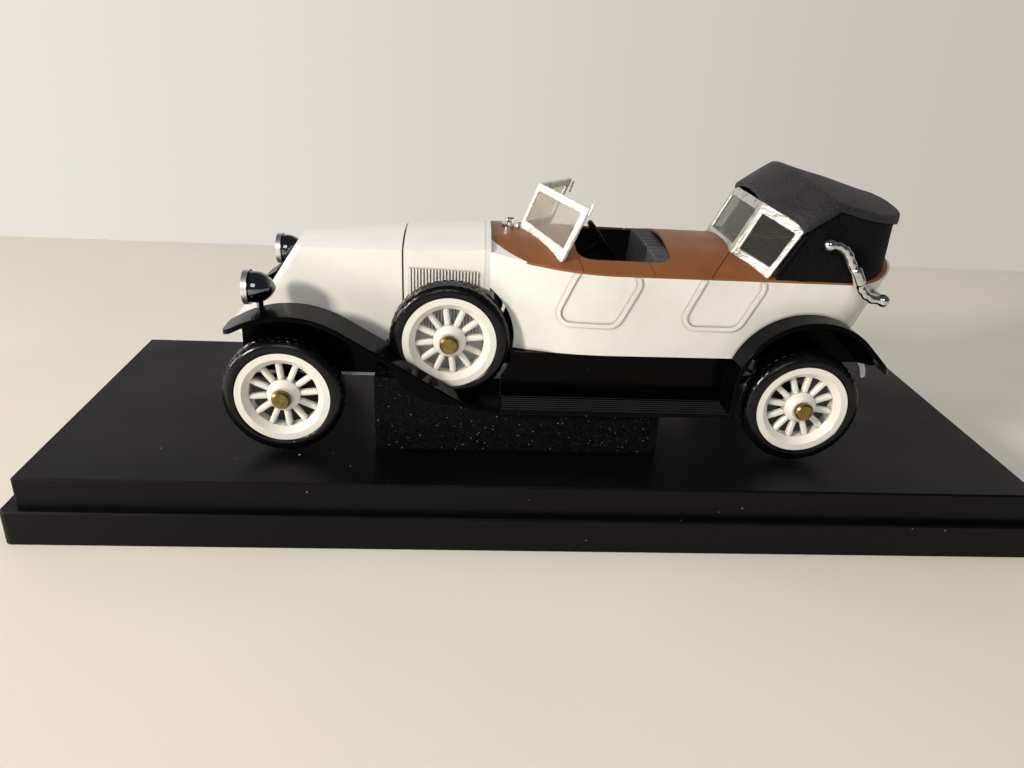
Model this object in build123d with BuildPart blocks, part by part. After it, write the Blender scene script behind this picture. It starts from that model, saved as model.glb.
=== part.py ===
from build123d import *
import os
from math import sqrt

# A 1920s touring car as a collector's model at about 1:43, on a foam pad and a display plinth.
# Millimetres. Car frame: +X forward, +Y the car's left, z = 0 at the wheel centres, x = 0 midway
# between the axles. Every car piece is then lifted onto the plinth by CAR_PLACE.

# Plinth and pad
PLINTH_LENGTH = 176.4
PLINTH_WIDTH = 63.5
PLINTH_HEIGHT = 12.0
PLINTH_LEDGE = 1.5
PLINTH_END_LEDGE = 2.5
PLINTH_FLANGE_HEIGHT = 6.4
PLINTH_WALL = 2.2
PLINTH_TOP_WALL = 3.0
PLINTH_CORNER = 0.6
FLANGE_CORNER = 1.4
PLINTH_EDGE = 0.3
PAD_FRONT = 30.5
PAD_REAR = -21.0
PAD_HALF_WIDTH = 16.6
PAD_NOSE_TOP = 3.2

# Wheels and tyres
WHEELBASE = 92.0
AXLE_X = WHEELBASE / 2
RIM_FACE_Y = 19.0
TYRE_RADIUS = 10.7
TYRE_WIDTH = 4.6
TYRE_SHOULDER = 0.55
TYRE_LIP = 0.25
RIM_RADIUS = 8.2
RIM_WIDTH = 4.2
RIM_FLAT = 1.15
RIM_DEPTH = 2.2
RIM_DISH = 1.1
SPOKES = 12
SPOKE_WIDTH = 1.05
SPOKE_DEPTH = 1.3
SPOKE_BEVEL = 0.3
SPOKE_MID = 1.75
HUB_RADIUS = 2.9
HUB_NOSE_RADIUS = 1.9
HUB_NOSE = 0.35
HUB_BACK = 3.4
SPINDLE_RADIUS = 0.7
SPINDLE_GAP = 0.06
SPINDLE_END = 0.5
HUB_SKIN = 0.7
CAP_RADIUS = 1.6
CAP_HEIGHT = 1.1
WHEEL_GROUND_GAP = 0.2
SPARE_X = 17.4
SPARE_Z = 9.6
SPARE_FACE_Y = 15.6
SPARE_TURN = 7.0

# Where the car stands on the plinth
CAR_X = -0.55
CAR_Y = 2.5
CAR_Z = PLINTH_HEIGHT + WHEEL_GROUND_GAP + TYRE_RADIUS
CAR_PLACE = Location((CAR_X, CAR_Y, CAR_Z))
PLINTH_TOP_Z = -(TYRE_RADIUS + WHEEL_GROUND_GAP)

# Longer than the model, for the tools that cut a piece off
REACH = 200.0

# Body heights and the crowned deck
RAIL_BOTTOM = 0.0
RAIL_HEIGHT = 2.5
SILL_Z = RAIL_BOTTOM + RAIL_HEIGHT
BODY_BOTTOM = 7.9
BODY_TOP = 30.0
SHOULDER_Z = 22.7
DECK_FRONT_X = 30.0
DECK_FRONT_APEX = 27.0
DECK_REAR_X = -75.0
DECK_REAR_APEX = 25.7
DECK_CROWN_RADIUS = 42.0
DECK_SKIN = 0.5
DECK_SEAM = 0.25
DECK_SEAM_DEPTH = 0.2
DECK_SEAMS = [((-4.4, 12.5), (-5.2, 17.0)), ((-16.6, 12.5), (-17.4, 17.0)), ((-32.0, 8.0), (-26.5, 17.0))]
DECK_NOSE_X = -4.9
DECK_NOSE_RADIUS = 17.0
BODY_WALL = 1.2
BODY_FRONT = 11.0
BODY_FRONT_HALF = 11.6
TAIL_X = -60.8
TAIL_RADIUS = 9.5
TAIL_HALF = 15.8
TAIL_RAKE = 0.36
FLARE_X = -1.5
FLARE_RADIUS = 50.0
BODY_HALF = 16.5
BODY_TUMBLE = 0.08

# Doors, as raised beads on the tub: x of the front and rear edges at their top
BEAD_WIDTH = 0.7
BEAD_HEIGHT = 0.35
DOOR_TOP = 24.0
DOOR_FOOT = 13.3
DOOR_CORNER = 2.6
DOOR_FRONT_SLANT = 4.2
DOOR_REAR_SLANT = 4.8
DOORS = [(-3.9, -16.4), (-25.9, -37.9)]

# Cockpits
COCKPIT_HALF = 12.7
COCKPIT_REAR = -20.9
COCKPIT_CORNER = 3.0
REAR_WELL_FRONT = -34.5
REAR_WELL_REAR = -58.0
REAR_WELL_HALF = 12.3
FLOOR_THICKNESS = 0.8

# Bonnet and cowl: x, bottom half-width, crease half-width, crease z, apex z
NOSE_SECTIONS = [
    (58.0, 4.4, 3.6, 22.6, 23.3),
    (26.0, 8.4, 9.6, 24.2, 26.2),
    (BODY_FRONT, 9.9, BODY_FRONT_HALF, 25.2, 27.1),
]
COWL_SEAM = 0.3
NOSE_TOP = (44.4, 24.5)
NOSE_KNEE = (52.4, 12.4)
NOSE_LIP = (57.6, 8.6)
NOSE_LIP_BOTTOM = 7.4
NOSE_FOOT = (50.5, SILL_Z)
NOSE_ROUND = 1.3
SHELL_WALL = 1.1
LOUVRE_COUNT = 22
LOUVRE_FRONT = 24.6
LOUVRE_REAR = 12.8
LOUVRE_TOP = 21.3
LOUVRE_FOOT = 9.6
LOUVRE_WIDTH = 0.27
LOUVRE_PROUD = 0.3
SEAM_BEAD_WIDTH = 0.9
SEAM_BEAD_PROUD = 0.35

# Windscreen: corners of the left pane (x, y, z)
SCREEN_CENTRE_FOOT = (4.8, 0.0, 27.0)
SCREEN_CENTRE_TOP = (1.75, 0.0, 34.75)
SCREEN_OUTER_TOP = (-5.4, 14.4, 33.6)
SCREEN_OUTER_FOOT = (-1.7, 14.1, 25.0)
SCREEN_BAR = 1.3
SCREEN_CENTRE_BAR = 0.45
SCREEN_THICKNESS = 0.7
GLASS_THICKNESS = 0.3
SCREEN_SKIRT = 3.0

# Rear screen: centre pane and left wing
REAR_POST_FOOT = (-32.4, 8.0, 25.8)
REAR_POST_TOP = (-36.4, 8.0, 33.9)
REAR_WING_TOP = (-41.3, 16.3, 31.5)
REAR_WING_FOOT = (-37.6, 15.5, 23.5)
REAR_BAR = 1.1
REAR_TUCK = 0.7

# Folding top, moulded raised over the rear seat
HOOD_HALF = 16.8
HOOD_FRONT_X = -36.3
HOOD_FRONT_HALF = 8.0
HOOD_CORNER_X = -41.2
HOOD_REAR_X = -60.3
HOOD_REAR_RADIUS = 9.8
FACET_Z = 36.3
FACET_SLOPE = -0.69
FACET_CROWN_RADIUS = 23.75
ROOF_X = -44.0
ROOF_Z = 39.45
ROOF_SLOPE = 0.264
ROOF_CROWN_RADIUS = 60.0
ROOF_ROUND = 0.8
HOOD_SKIN = 1.0
HOOD_LIP = [(-30.0, 29.8), (-41.2, 31.2), (-46.6, 35.1), (-53.0, 33.6), (-66.0, 31.0)]
CURTAIN_INSET = 0.6
CURTAIN_WALL = 0.8
CURTAIN_FRONT_TOP_X = -42.0
CURTAIN_FRONT_FOOT_X = -37.9

# Landau irons: x, z at the bends of the left iron
LANDAU_Y = 17.7
LANDAU_PATH = [(-45.3, 29.8), (-46.8, 29.7), (-48.0, 29.1), (-48.9, 28.1), (-49.7, 26.7), (-51.8, 23.2),
               (-52.4, 22.3), (-53.3, 21.4), (-54.6, 20.7), (-56.6, 20.5)]
LANDAU_ROD = 0.5
LANDAU_BALL = 0.85
LANDAU_BLOCK = (-51.15, 24.7)
LANDAU_BLOCK_SIZE = (1.2, 2.8)
LANDAU_BLOCK_LEAN = 29.0

# Headlamps: ring, bullet bucket and stem, with the mudguard below
LAMP_Y = 12.9
LAMP_Z = 17.9
LAMP_FRONT = 52.3
LAMP_RING_RADIUS = 3.0
LAMP_RING_WIDTH = 1.0
LAMP_BUCKET_RADIUS = 2.65
LAMP_BUCKET_DEPTH = 4.2
LAMP_STEM_X = 50.0
LAMP_STEM_RADIUS = 0.6
LENS_RADIUS = 2.5
LENS_SEAT = 0.6
LENS_RIM = 0.4
LENS_DOME = 0.3

# Filler cap on the cowl and blank plate on the nose
CAP_X = 7.0
CAP_PROFILE = [(1.6, 26.0), (1.6, 27.5), (0.65, 27.6), (0.65, 27.9), (0.9, 28.1), (0.9, 28.4), (0.5, 28.6)]
PLATE_Z = 17.0
PLATE_WIDTH = 5.6
PLATE_HEIGHT = 3.0
PLATE_THICKNESS = 0.4

# Mudguards and running boards: x, z along the top of each guard from front to rear
GUARD_INNER_Y = 10.4
GUARD_OUTER_Y = 20.3
GUARD_THICKNESS = 0.7
GUARD_ROUND = 0.3
GUARD_LIP = 0.8
GUARD_SLOPE = 2.3
GUARD_END_RADIUS = 3.4
GUARD_DEPTH_Z = -9.0
BOARD_TOP = -0.8
BOARD_THICKNESS = 0.7
BOARD_FRONT = AXLE_X - 37.8
BOARD_REAR = 13.5 - AXLE_X
BOARD_INNER_Y = 12.0
BOARD_RIBS = 6
BOARD_RIB_WIDTH = 0.35
BOARD_RIB_HEIGHT = 0.15
VALANCE_Y = 13.6
VALANCE_THICKNESS = 0.8
FRONT_GUARD = [(AXLE_X + 16.0, 8.2), (AXLE_X - 1.7, 17.95), (AXLE_X - 33.0, BOARD_TOP),
               (AXLE_X - 48.0, BOARD_TOP)]
FRONT_GUARD_BENDS = [18.0, 17.0]
FRONT_GUARD_NOSE = AXLE_X + 9.4
REAR_GUARD = [(BOARD_REAR, GUARD_DEPTH_Z), (BOARD_REAR, 16.8), (-AXLE_X - 5.3, 16.8),
              (-AXLE_X - 22.5, -0.3)]
REAR_GUARD_BENDS = [12.9, 13.0]
REAR_GUARD_TAIL = -AXLE_X - 14.6
REAR_PLATE_FOOT = 6.3
APRON_REAR = 24.0
WELL_GAP = 0.05
WELL_SIDE_GAP = 0.3
WELL_SKIN = 0.6

# Chassis
RAIL_Y = 7.6
RAIL_WIDTH = 1.5
RAIL_FRONT = 56.0
RAIL_REAR = -57.5
RAIL_STEP = (-28.0, -35.0)
HORN_BEND = (-60.2, 5.4)
HORN_TIP = (-61.4, 2.6)
HORN_THICKNESS = 1.0
CROSS_MEMBERS = [53.0, 28.0, 2.0, -24.0]
CROSS_WIDTH = 2.0
CROSS_HEIGHT = 1.6
BEAM = 1.3
BEAM_DROP = 2.3
BEAM_DROP_Y = 9.6
KNUCKLE_Y = 12.4
KNUCKLE_RADIUS = 0.8
KNUCKLE_HEIGHT = 3.2
AXLE_RADIUS = 1.0
DRUM_RADIUS = 3.2
DRUM_WIDTH = 2.2
DRUM_GAP = 0.3
DIFF_RADIUS = 2.7
SPRING_WIDTH = 1.2
LEAF = 0.45
SPRINGS = [("front_springs", AXLE_X, BEAM / 2 - BEAM_DROP, RAIL_BOTTOM, 8.5, 6.0),
           ("rear_springs", -AXLE_X, AXLE_RADIUS, BODY_BOTTOM - RAIL_HEIGHT, 10.5, 7.0)]

# Inside
FRONT_SEAT = (-9.6, -21.6, 12.4, 13.0, 25.0)
REAR_SEAT = (-42.5, -55.0, 10.2, 15.0, 23.0)
SEAT_BACK = 3.6
SEAT_ROUND = 1.5
PLEAT_PITCH = 2.2
PLEAT_GROOVE = 0.3
LINING = 0.6
LINING_GAP = 0.1
DASH_X = -3.4
DASH_THICKNESS = 0.8
DASH_FOOT = 15.0
STEERING_CENTRE = (-11.4, -7.0, 23.0)
STEERING_RADIUS = 4.2
STEERING_RIM = 0.38
STEERING_RAKE = (-0.8, 0.0, 0.6)
COLUMN_RADIUS = 0.45

def outline(points):
    """A closed outline through the points."""
    return Polyline(*points, close=True)


def mirrored(points):
    """Half an outline, from the centreline out, completed by its mirror image across y = 0."""
    return points + [(x, -y) for x, y in reversed(points)]


def body_plan(level, inset=0.0):
    """Face of the body's plan at a height, flares and tail rounded, pulled in all round by inset."""
    tuck = BODY_TUMBLE * (SHOULDER_Z - level)
    tail = TAIL_X + TAIL_RAKE * (SHOULDER_Z - level)
    with BuildSketch(Plane.XY.offset(level)) as plan:
        with BuildLine():
            outline(mirrored([(BODY_FRONT, BODY_FRONT_HALF - tuck), (FLARE_X, BODY_HALF - tuck),
                              (tail, TAIL_HALF - tuck)]))
        make_face()
        fillet(plan.vertices().group_by(Axis.X)[0], TAIL_RADIUS)
        fillet(plan.vertices().filter_by(lambda v: abs(v.X - FLARE_X) < 0.01), FLARE_RADIUS)
        if inset:
            offset(amount=-inset, mode=Mode.REPLACE)
    return plan.sketch


def arch_face(apex, radius, half, bottom, plane):
    """Front view of a crowned top: flat bottom, upright sides and one arc."""
    side = apex - (radius - sqrt(radius**2 - half**2))
    with BuildSketch(plane) as face:
        with BuildLine():
            Polyline((-half, side), (-half, bottom), (half, bottom), (half, side))
            ThreePointArc((half, side), (0, apex), (-half, side))
        make_face()
    return face.sketch


def front_view(x):
    """Plane facing forward at x, whose own x runs along +Y and whose own y is up."""
    return Plane(origin=(x, 0, 0), x_dir=(0, 1, 0), z_dir=(1, 0, 0))


def side_view(y):
    """Plane facing the left side at y, whose own x runs along +X and whose own y is up."""
    return Plane(origin=(0, y, 0), x_dir=(1, 0, 0), z_dir=(0, -1, 0))


def write(piece, label, place=CAR_PLACE):
    """Label a finished piece, put it in its place on the plinth and save it."""
    placed = place * piece
    placed.label = label
    export_step(placed, os.path.join("parts", label + ".step"))


def both_sides(piece):
    """A left-hand piece and its mirror image on the car's right."""
    return Compound(piece.solids() + mirror(piece, about=Plane.XZ).solids())


os.makedirs("parts", exist_ok=True)

# Plinth: a two-tier moulded tray, open underneath
with BuildPart() as plinth:
    flange_size = (PLINTH_LENGTH + 2 * PLINTH_END_LEDGE, PLINTH_WIDTH + 2 * PLINTH_LEDGE)
    with BuildSketch() as flange_plan:
        RectangleRounded(*flange_size, FLANGE_CORNER)
    extrude(amount=PLINTH_FLANGE_HEIGHT)
    with BuildSketch() as tier_plan:
        RectangleRounded(PLINTH_LENGTH, PLINTH_WIDTH, PLINTH_CORNER)
    extrude(amount=PLINTH_HEIGHT)
    top_edges = plinth.faces().sort_by(Axis.Z)[-1].edges()
    ledge_edges = plinth.faces().filter_by(Axis.Z).sort_by(Axis.Z)[-2].outer_wire().edges()
    chamfer(top_edges + ledge_edges, PLINTH_EDGE)
    with BuildSketch() as hollow_plan:
        Rectangle(PLINTH_LENGTH - 2 * PLINTH_WALL, PLINTH_WIDTH - 2 * PLINTH_WALL)
    extrude(amount=PLINTH_HEIGHT - PLINTH_TOP_WALL, mode=Mode.SUBTRACT)
write(plinth.part, "plinth", Location())

# Pad: a foam block under the running boards, its nose standing up ahead of the spare wheels' wells
WELL_RADIUS = TYRE_RADIUS + WELL_GAP + WELL_SKIN
BOARD_UNDER = BOARD_TOP - BOARD_THICKNESS
guard_rise = (FRONT_GUARD[1][1] - FRONT_GUARD[2][1]) / (FRONT_GUARD[1][0] - FRONT_GUARD[2][0])
pad_nose_x = FRONT_GUARD[2][0] + (PAD_NOSE_TOP + 2 * GUARD_THICKNESS - BOARD_TOP) / guard_rise
pad_foot_x = FRONT_GUARD[2][0] + (BOARD_UNDER + 2 * GUARD_THICKNESS - BOARD_TOP) / guard_rise
with BuildPart() as pad:
    with BuildSketch(side_view(0)) as pad_side:
        with BuildLine():
            outline([(PAD_FRONT, PLINTH_TOP_Z), (PAD_FRONT, PAD_NOSE_TOP), (pad_nose_x, PAD_NOSE_TOP),
                     (pad_foot_x, BOARD_UNDER), (PAD_REAR, BOARD_UNDER), (PAD_REAR, PLINTH_TOP_Z)])
        make_face()
        with Locations((SPARE_X, SPARE_Z)):
            Circle(WELL_RADIUS, mode=Mode.SUBTRACT)
    extrude(amount=PAD_HALF_WIDTH, both=True)
    with BuildSketch(Plane.XY.offset(BOARD_UNDER)):
        with Locations((PAD_FRONT, 0)):
            Rectangle(PAD_FRONT - PAD_REAR, 2 * (GUARD_INNER_Y + GUARD_THICKNESS + WELL_SIDE_GAP))
    extrude(amount=TYRE_RADIUS, mode=Mode.SUBTRACT)
write(pad.part, "pad")

# Wheel, drawn with its axle along Z and the outer face of its rim at z = 0
RIM_INNER = RIM_RADIUS - RIM_DEPTH
with BuildPart() as spoke:
    with BuildSketch(Plane.YZ.offset(HUB_NOSE_RADIUS)) as spoke_section:
        with Locations((0, -SPOKE_MID)):
            Rectangle(SPOKE_WIDTH, SPOKE_DEPTH)
        chamfer(spoke_section.vertices(), SPOKE_BEVEL)
    extrude(amount=RIM_INNER + 0.3 * RIM_DEPTH - HUB_NOSE_RADIUS)

with BuildPart() as wheel:
    with BuildSketch(Plane.XZ) as rim_section:
        with BuildLine():
            outline([(RIM_RADIUS, 0), (RIM_RADIUS - RIM_FLAT, 0), (RIM_INNER, -RIM_DISH),
                   (RIM_INNER, RIM_DISH - RIM_WIDTH), (RIM_RADIUS - RIM_FLAT, -RIM_WIDTH),
                   (RIM_RADIUS, -RIM_WIDTH)])
        make_face()
    revolve(axis=Axis.Z)
    with BuildSketch(Plane.XZ) as hub_section:
        with BuildLine():
            outline([(0, HUB_NOSE), (HUB_NOSE_RADIUS, HUB_NOSE), (HUB_NOSE_RADIUS, 0), (HUB_RADIUS, -1.0),
                   (HUB_RADIUS, -2.6), (HUB_NOSE_RADIUS, -HUB_BACK), (0, -HUB_BACK)])
        make_face()
    revolve(axis=Axis.Z)
    with PolarLocations(0, SPOKES):
        add(spoke.part)
    with BuildSketch(Plane.XY.offset(-HUB_BACK)):
        Circle(SPINDLE_RADIUS + SPINDLE_GAP)
    extrude(amount=HUB_BACK + HUB_NOSE - HUB_SKIN, mode=Mode.SUBTRACT)

with BuildPart() as tyre:
    tyre_mid = -RIM_WIDTH / 2
    half = TYRE_WIDTH / 2
    tread = TYRE_RADIUS - TYRE_SHOULDER
    wall = half - 3 * TYRE_LIP
    with BuildSketch(Plane.XZ) as tyre_section:
        with BuildLine():
            Line((RIM_RADIUS, tyre_mid - half + TYRE_LIP), (RIM_RADIUS, tyre_mid + half - TYRE_LIP))
            ThreePointArc((RIM_RADIUS, tyre_mid + half - TYRE_LIP), (RIM_RADIUS + 1.0, tyre_mid + half),
                          (tread, tyre_mid + wall))
            ThreePointArc((tread, tyre_mid + wall), (TYRE_RADIUS, tyre_mid), (tread, tyre_mid - wall))
            ThreePointArc((tread, tyre_mid - wall), (RIM_RADIUS + 1.0, tyre_mid - half),
                          (RIM_RADIUS, tyre_mid - half + TYRE_LIP))
        make_face()
    revolve(axis=Axis.Z)

with BuildPart() as hub_cap:
    with BuildSketch(Plane.XY.offset(HUB_NOSE)):
        Circle(CAP_RADIUS)
    extrude(amount=CAP_HEIGHT)
    chamfer(hub_cap.edges().sort_by(Axis.Z)[-1], 0.25 * CAP_HEIGHT)


def wheel_place(x, side, face_y, z=0.0):
    """Place of a wheel whose rim faces outwards on the left (+1) or right (-1)."""
    return Plane(origin=(x, side * face_y, z), x_dir=(1, 0, 0), z_dir=(0, side, 0)).location


# Each road wheel: corner, x, side and how far its spokes stand turned round its axle
WHEELS = [("front_left", AXLE_X, 1, 6.2), ("front_right", AXLE_X, -1, 2.0),
          ("rear_left", -AXLE_X, 1, -8.5), ("rear_right", -AXLE_X, -1, 11.0)]
for corner, wheel_x, side, turn in WHEELS:
    place = CAR_PLACE * wheel_place(wheel_x, side, RIM_FACE_Y) * Location((0, 0, 0), (0, 0, turn))
    write(tyre.part, "tyre_" + corner, place)
    write(wheel.part, "wheel_" + corner, place)
    write(hub_cap.part, "hub_cap_" + corner, place)

spare_place = wheel_place(SPARE_X, 1, SPARE_FACE_Y, SPARE_Z) * Location((0, 0, 0), (0, 0, SPARE_TURN))
SPARES = [("spare_tyres", tyre.part), ("spare_wheels", wheel.part), ("spare_hub_caps", hub_cap.part)]
for label, piece in SPARES:
    write(both_sides(spare_place * piece), label)


def nose_section(x, foot, crease, crease_z, apex, inset=0.0):
    """Front view of bonnet or cowl at x: upright sides leaning out to a crease, crowned top."""
    with BuildSketch(front_view(x)) as section:
        with BuildLine():
            Polyline((-crease + inset, crease_z - inset), (-foot + inset, SILL_Z), (foot - inset, SILL_Z),
                     (crease - inset, crease_z - inset))
            ThreePointArc((crease - inset, crease_z - inset), (0, apex - inset),
                          (inset - crease, crease_z - inset))
        make_face()
    return section.sketch


def between(row_a, row_b, x):
    """The table's row at x, in proportion between two rows."""
    share = (x - row_a[0]) / (row_b[0] - row_a[0])
    return (x,) + tuple(a + share * (b - a) for a, b in zip(row_a[1:], row_b[1:]))


# Bonnet: tapering shell with a raked nose and a lip between the frame's front ends
front_row, seam_row, body_row = NOSE_SECTIONS
with BuildPart() as bonnet:
    loft([nose_section(*front_row), nose_section(*seam_row)], ruled=True)
    with BuildSketch(side_view(0)) as nose_side:
        with BuildLine():
            nose_top_z = 30.0
            slope_x = (NOSE_KNEE[0] - NOSE_TOP[0]) / (NOSE_TOP[1] - NOSE_KNEE[1])
            Polyline((NOSE_TOP[0] - slope_x * (nose_top_z - NOSE_TOP[1]), nose_top_z), NOSE_KNEE, NOSE_LIP,
                     (NOSE_LIP[0], NOSE_LIP_BOTTOM), NOSE_FOOT, (REACH, NOSE_FOOT[1]), (REACH, nose_top_z),
                     close=True)
        make_face()
    extrude(amount=20, both=True, mode=Mode.SUBTRACT)
    nose_edges = bonnet.edges().filter_by(lambda e: e.center().X > NOSE_TOP[0] + 1 and e.center().Z > 13
                                          and abs(e.center().Y) > 2)
    fillet(nose_edges, NOSE_ROUND)
    with BuildPart(mode=Mode.PRIVATE) as bonnet_core:
        core_front = between(front_row, seam_row, NOSE_KNEE[0] - 7)
        loft([nose_section(*core_front, inset=SHELL_WALL), nose_section(*seam_row, inset=SHELL_WALL)],
             ruled=True)
    add(bonnet_core.part, mode=Mode.SUBTRACT)
write(bonnet.part, "bonnet")

# Body block: the tub's flanks, with the crowned deck's outside and inside as cutting tools
def crown_block(drop):
    """Everything under the deck's crown, lowered by drop."""
    radius = DECK_CROWN_RADIUS + 2 * drop
    front = arch_face(DECK_FRONT_APEX - drop, radius, 26.0, -30.0, front_view(DECK_FRONT_X))
    rear = arch_face(DECK_REAR_APEX - drop, radius, 26.0, -30.0, front_view(DECK_REAR_X))
    with BuildPart() as block:
        loft([front, rear], ruled=True)
    return block.part


def body_block(inset=0.0):
    """The body's flanks from its foot to above the deck, pulled in all round by inset."""
    with BuildPart() as block:
        loft([body_plan(BODY_BOTTOM, inset), body_plan(BODY_TOP, inset)], ruled=True)
    return block.part


def cowl_block(rows, inset):
    """Bonnet or cowl between two rows of the table, pulled in by inset."""
    with BuildPart() as block:
        loft([nose_section(*rows[0], inset=inset), nose_section(*rows[1], inset=inset)], ruled=True)
    return block.part


UNDER_DECK = crown_block(0.0)
UNDER_SKIN = crown_block(DECK_SKIN)
BODY = body_block()

with BuildPart() as cabin:
    add(body_block(BODY_WALL))
    add(UNDER_SKIN, mode=Mode.INTERSECT)
CABIN = cabin.part


# Mudguards: the region under each guard's top line is the outside, an inset copy the inside
def guard_face(path, bends, inset, y):
    """Side view of all that lies under a guard, its top line rounded at the bends."""
    with BuildSketch(side_view(y)) as face:
        with BuildLine():
            corners = list(path)
            if path[-1][1] > GUARD_DEPTH_Z:
                corners.append((path[-1][0], GUARD_DEPTH_Z))
            if path[0][1] > GUARD_DEPTH_Z:
                corners.append((path[0][0], GUARD_DEPTH_Z))
            outline(corners)
        make_face()
        for (x, z), bend in zip(path[1:], bends):
            nearest = face.vertices().sort_by_distance(Vector(x, y, z))[0]
            fillet(nearest, bend)
        if inset:
            offset(amount=-inset, mode=Mode.REPLACE)
    return face.sketch


def guard_block(path, bends, inset, inner_y, outer_y, rounding=0.0, slope=0.0):
    """The region under a guard between two values of y, outer top edge rounded, inner one sloped."""
    low, high = min(path[0][0], path[-1][0]), max(path[0][0], path[-1][0])

    def on_top(edge):
        """True for an edge along the guard's top line, its upright front included."""
        middle = edge.center()
        inside = low + inset + 0.01 < middle.X < high - inset - 0.01
        upright = path[0][1] <= GUARD_DEPTH_Z and middle.X > high - inset - 0.01
        return middle.Z > GUARD_DEPTH_Z + 1 and (inside or upright)

    with BuildPart() as block:
        extrude(guard_face(path, bends, inset, outer_y), amount=outer_y - inner_y)
        if rounding:
            fillet(block.faces().sort_by(Axis.Y)[-1].edges().filter_by(on_top), rounding)
        if slope:
            chamfer(block.faces().sort_by(Axis.Y)[0].edges().filter_by(on_top), slope)
    return block.part


def guard(path, bends, end_x, plate_foot):
    """A left mudguard: inner plate down to plate_foot, turned-down outer lip, free end at end_x."""
    t = GUARD_THICKNESS
    with BuildPart() as piece:
        add(guard_block(path, bends, 0.0, GUARD_INNER_Y, GUARD_OUTER_Y, GUARD_ROUND, GUARD_SLOPE))
        inner_slope = GUARD_SLOPE - (2 - sqrt(2)) * t
        add(guard_block(path, bends, t, GUARD_INNER_Y + t, GUARD_OUTER_Y - t, 0.0, inner_slope),
            mode=Mode.SUBTRACT)
        add(guard_block(path, bends, GUARD_LIP, GUARD_OUTER_Y - 3 * t, GUARD_OUTER_Y + t),
            mode=Mode.SUBTRACT)
        with BuildPart(mode=Mode.PRIVATE) as below_rail:
            add(guard_block(path, bends, t, GUARD_INNER_Y - t, GUARD_OUTER_Y))
            with BuildSketch(Plane.XY.offset(plate_foot)):
                Rectangle(REACH, REACH)
            extrude(amount=REACH, mode=Mode.SUBTRACT)
        add(below_rail.part, mode=Mode.SUBTRACT)
        with BuildSketch(Plane.XY.offset(BOARD_UNDER)):
            Rectangle(REACH, REACH)
        extrude(amount=-REACH, mode=Mode.SUBTRACT)
        ahead = 1 if end_x > 0 else -1
        with BuildSketch(Plane.XY.offset(GUARD_DEPTH_Z)):
            with Locations((end_x - ahead * (AXLE_X / 2 + 5), (GUARD_INNER_Y + GUARD_OUTER_Y) / 2)):
                RectangleRounded(AXLE_X + 10, GUARD_OUTER_Y - GUARD_INNER_Y, GUARD_END_RADIUS)
        extrude(amount=4 * AXLE_X, mode=Mode.INTERSECT)
    return piece.part


GUARD_SPAN = (GUARD_INNER_Y, GUARD_OUTER_Y, GUARD_ROUND, GUARD_SLOPE)
FRONT_GUARD_BLOCK = guard_block(FRONT_GUARD, FRONT_GUARD_BENDS, 0.0, *GUARD_SPAN)
REAR_GUARD_BLOCK = guard_block(REAR_GUARD, REAR_GUARD_BENDS, 0.0, *GUARD_SPAN)

# Wells for the spare wheels
WELL_OUT = SPARE_FACE_Y + (TYRE_WIDTH - RIM_WIDTH) / 2 + WELL_SIDE_GAP
WELL_IN = WELL_OUT - TYRE_WIDTH - 2 * WELL_SIDE_GAP


def spare_disc(radius, skin):
    """Disc round the spare wheel's axis, as wide as its well and a skin on each side."""
    with BuildPart() as disc:
        with BuildSketch(side_view(WELL_OUT + skin)):
            with Locations((SPARE_X, SPARE_Z)):
                Circle(radius)
        extrude(amount=WELL_OUT - WELL_IN + 2 * skin)
    return disc.part


WELL_OUTSIDE = spare_disc(WELL_RADIUS, WELL_SKIN)
WELL_INSIDE = spare_disc(WELL_RADIUS - WELL_SKIN, 0.0)

with BuildPart() as front_guard:
    add(guard(FRONT_GUARD, FRONT_GUARD_BENDS, FRONT_GUARD_NOSE, SILL_Z - GUARD_THICKNESS))
    with BuildPart(mode=Mode.PRIVATE) as well:
        add(WELL_OUTSIDE)
        add(guard_block(FRONT_GUARD, FRONT_GUARD_BENDS, 0.5 * GUARD_THICKNESS, 0.0, GUARD_OUTER_Y + 5),
            mode=Mode.INTERSECT)
    add(well.part)
    add(WELL_INSIDE, mode=Mode.SUBTRACT)
    with BuildSketch(Plane.XY.offset(SILL_Z)):
        apron_y = RAIL_Y + RAIL_WIDTH / 2
        with Locations(((APRON_REAR + RAIL_FRONT) / 2, (apron_y + GUARD_INNER_Y + GUARD_THICKNESS) / 2)):
            Rectangle(RAIL_FRONT - APRON_REAR, GUARD_INNER_Y + GUARD_THICKNESS - apron_y)
    extrude(amount=-GUARD_THICKNESS)
    with BuildSketch(front_view(BOARD_FRONT)):
        Rectangle(REACH, REACH)
    extrude(amount=-REACH, mode=Mode.SUBTRACT)
write(both_sides(front_guard.part), "front_mudguards")

with BuildPart() as rear_guard:
    add(guard(REAR_GUARD, REAR_GUARD_BENDS, REAR_GUARD_TAIL, REAR_PLATE_FOOT))
write(both_sides(rear_guard.part), "rear_mudguards")

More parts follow.
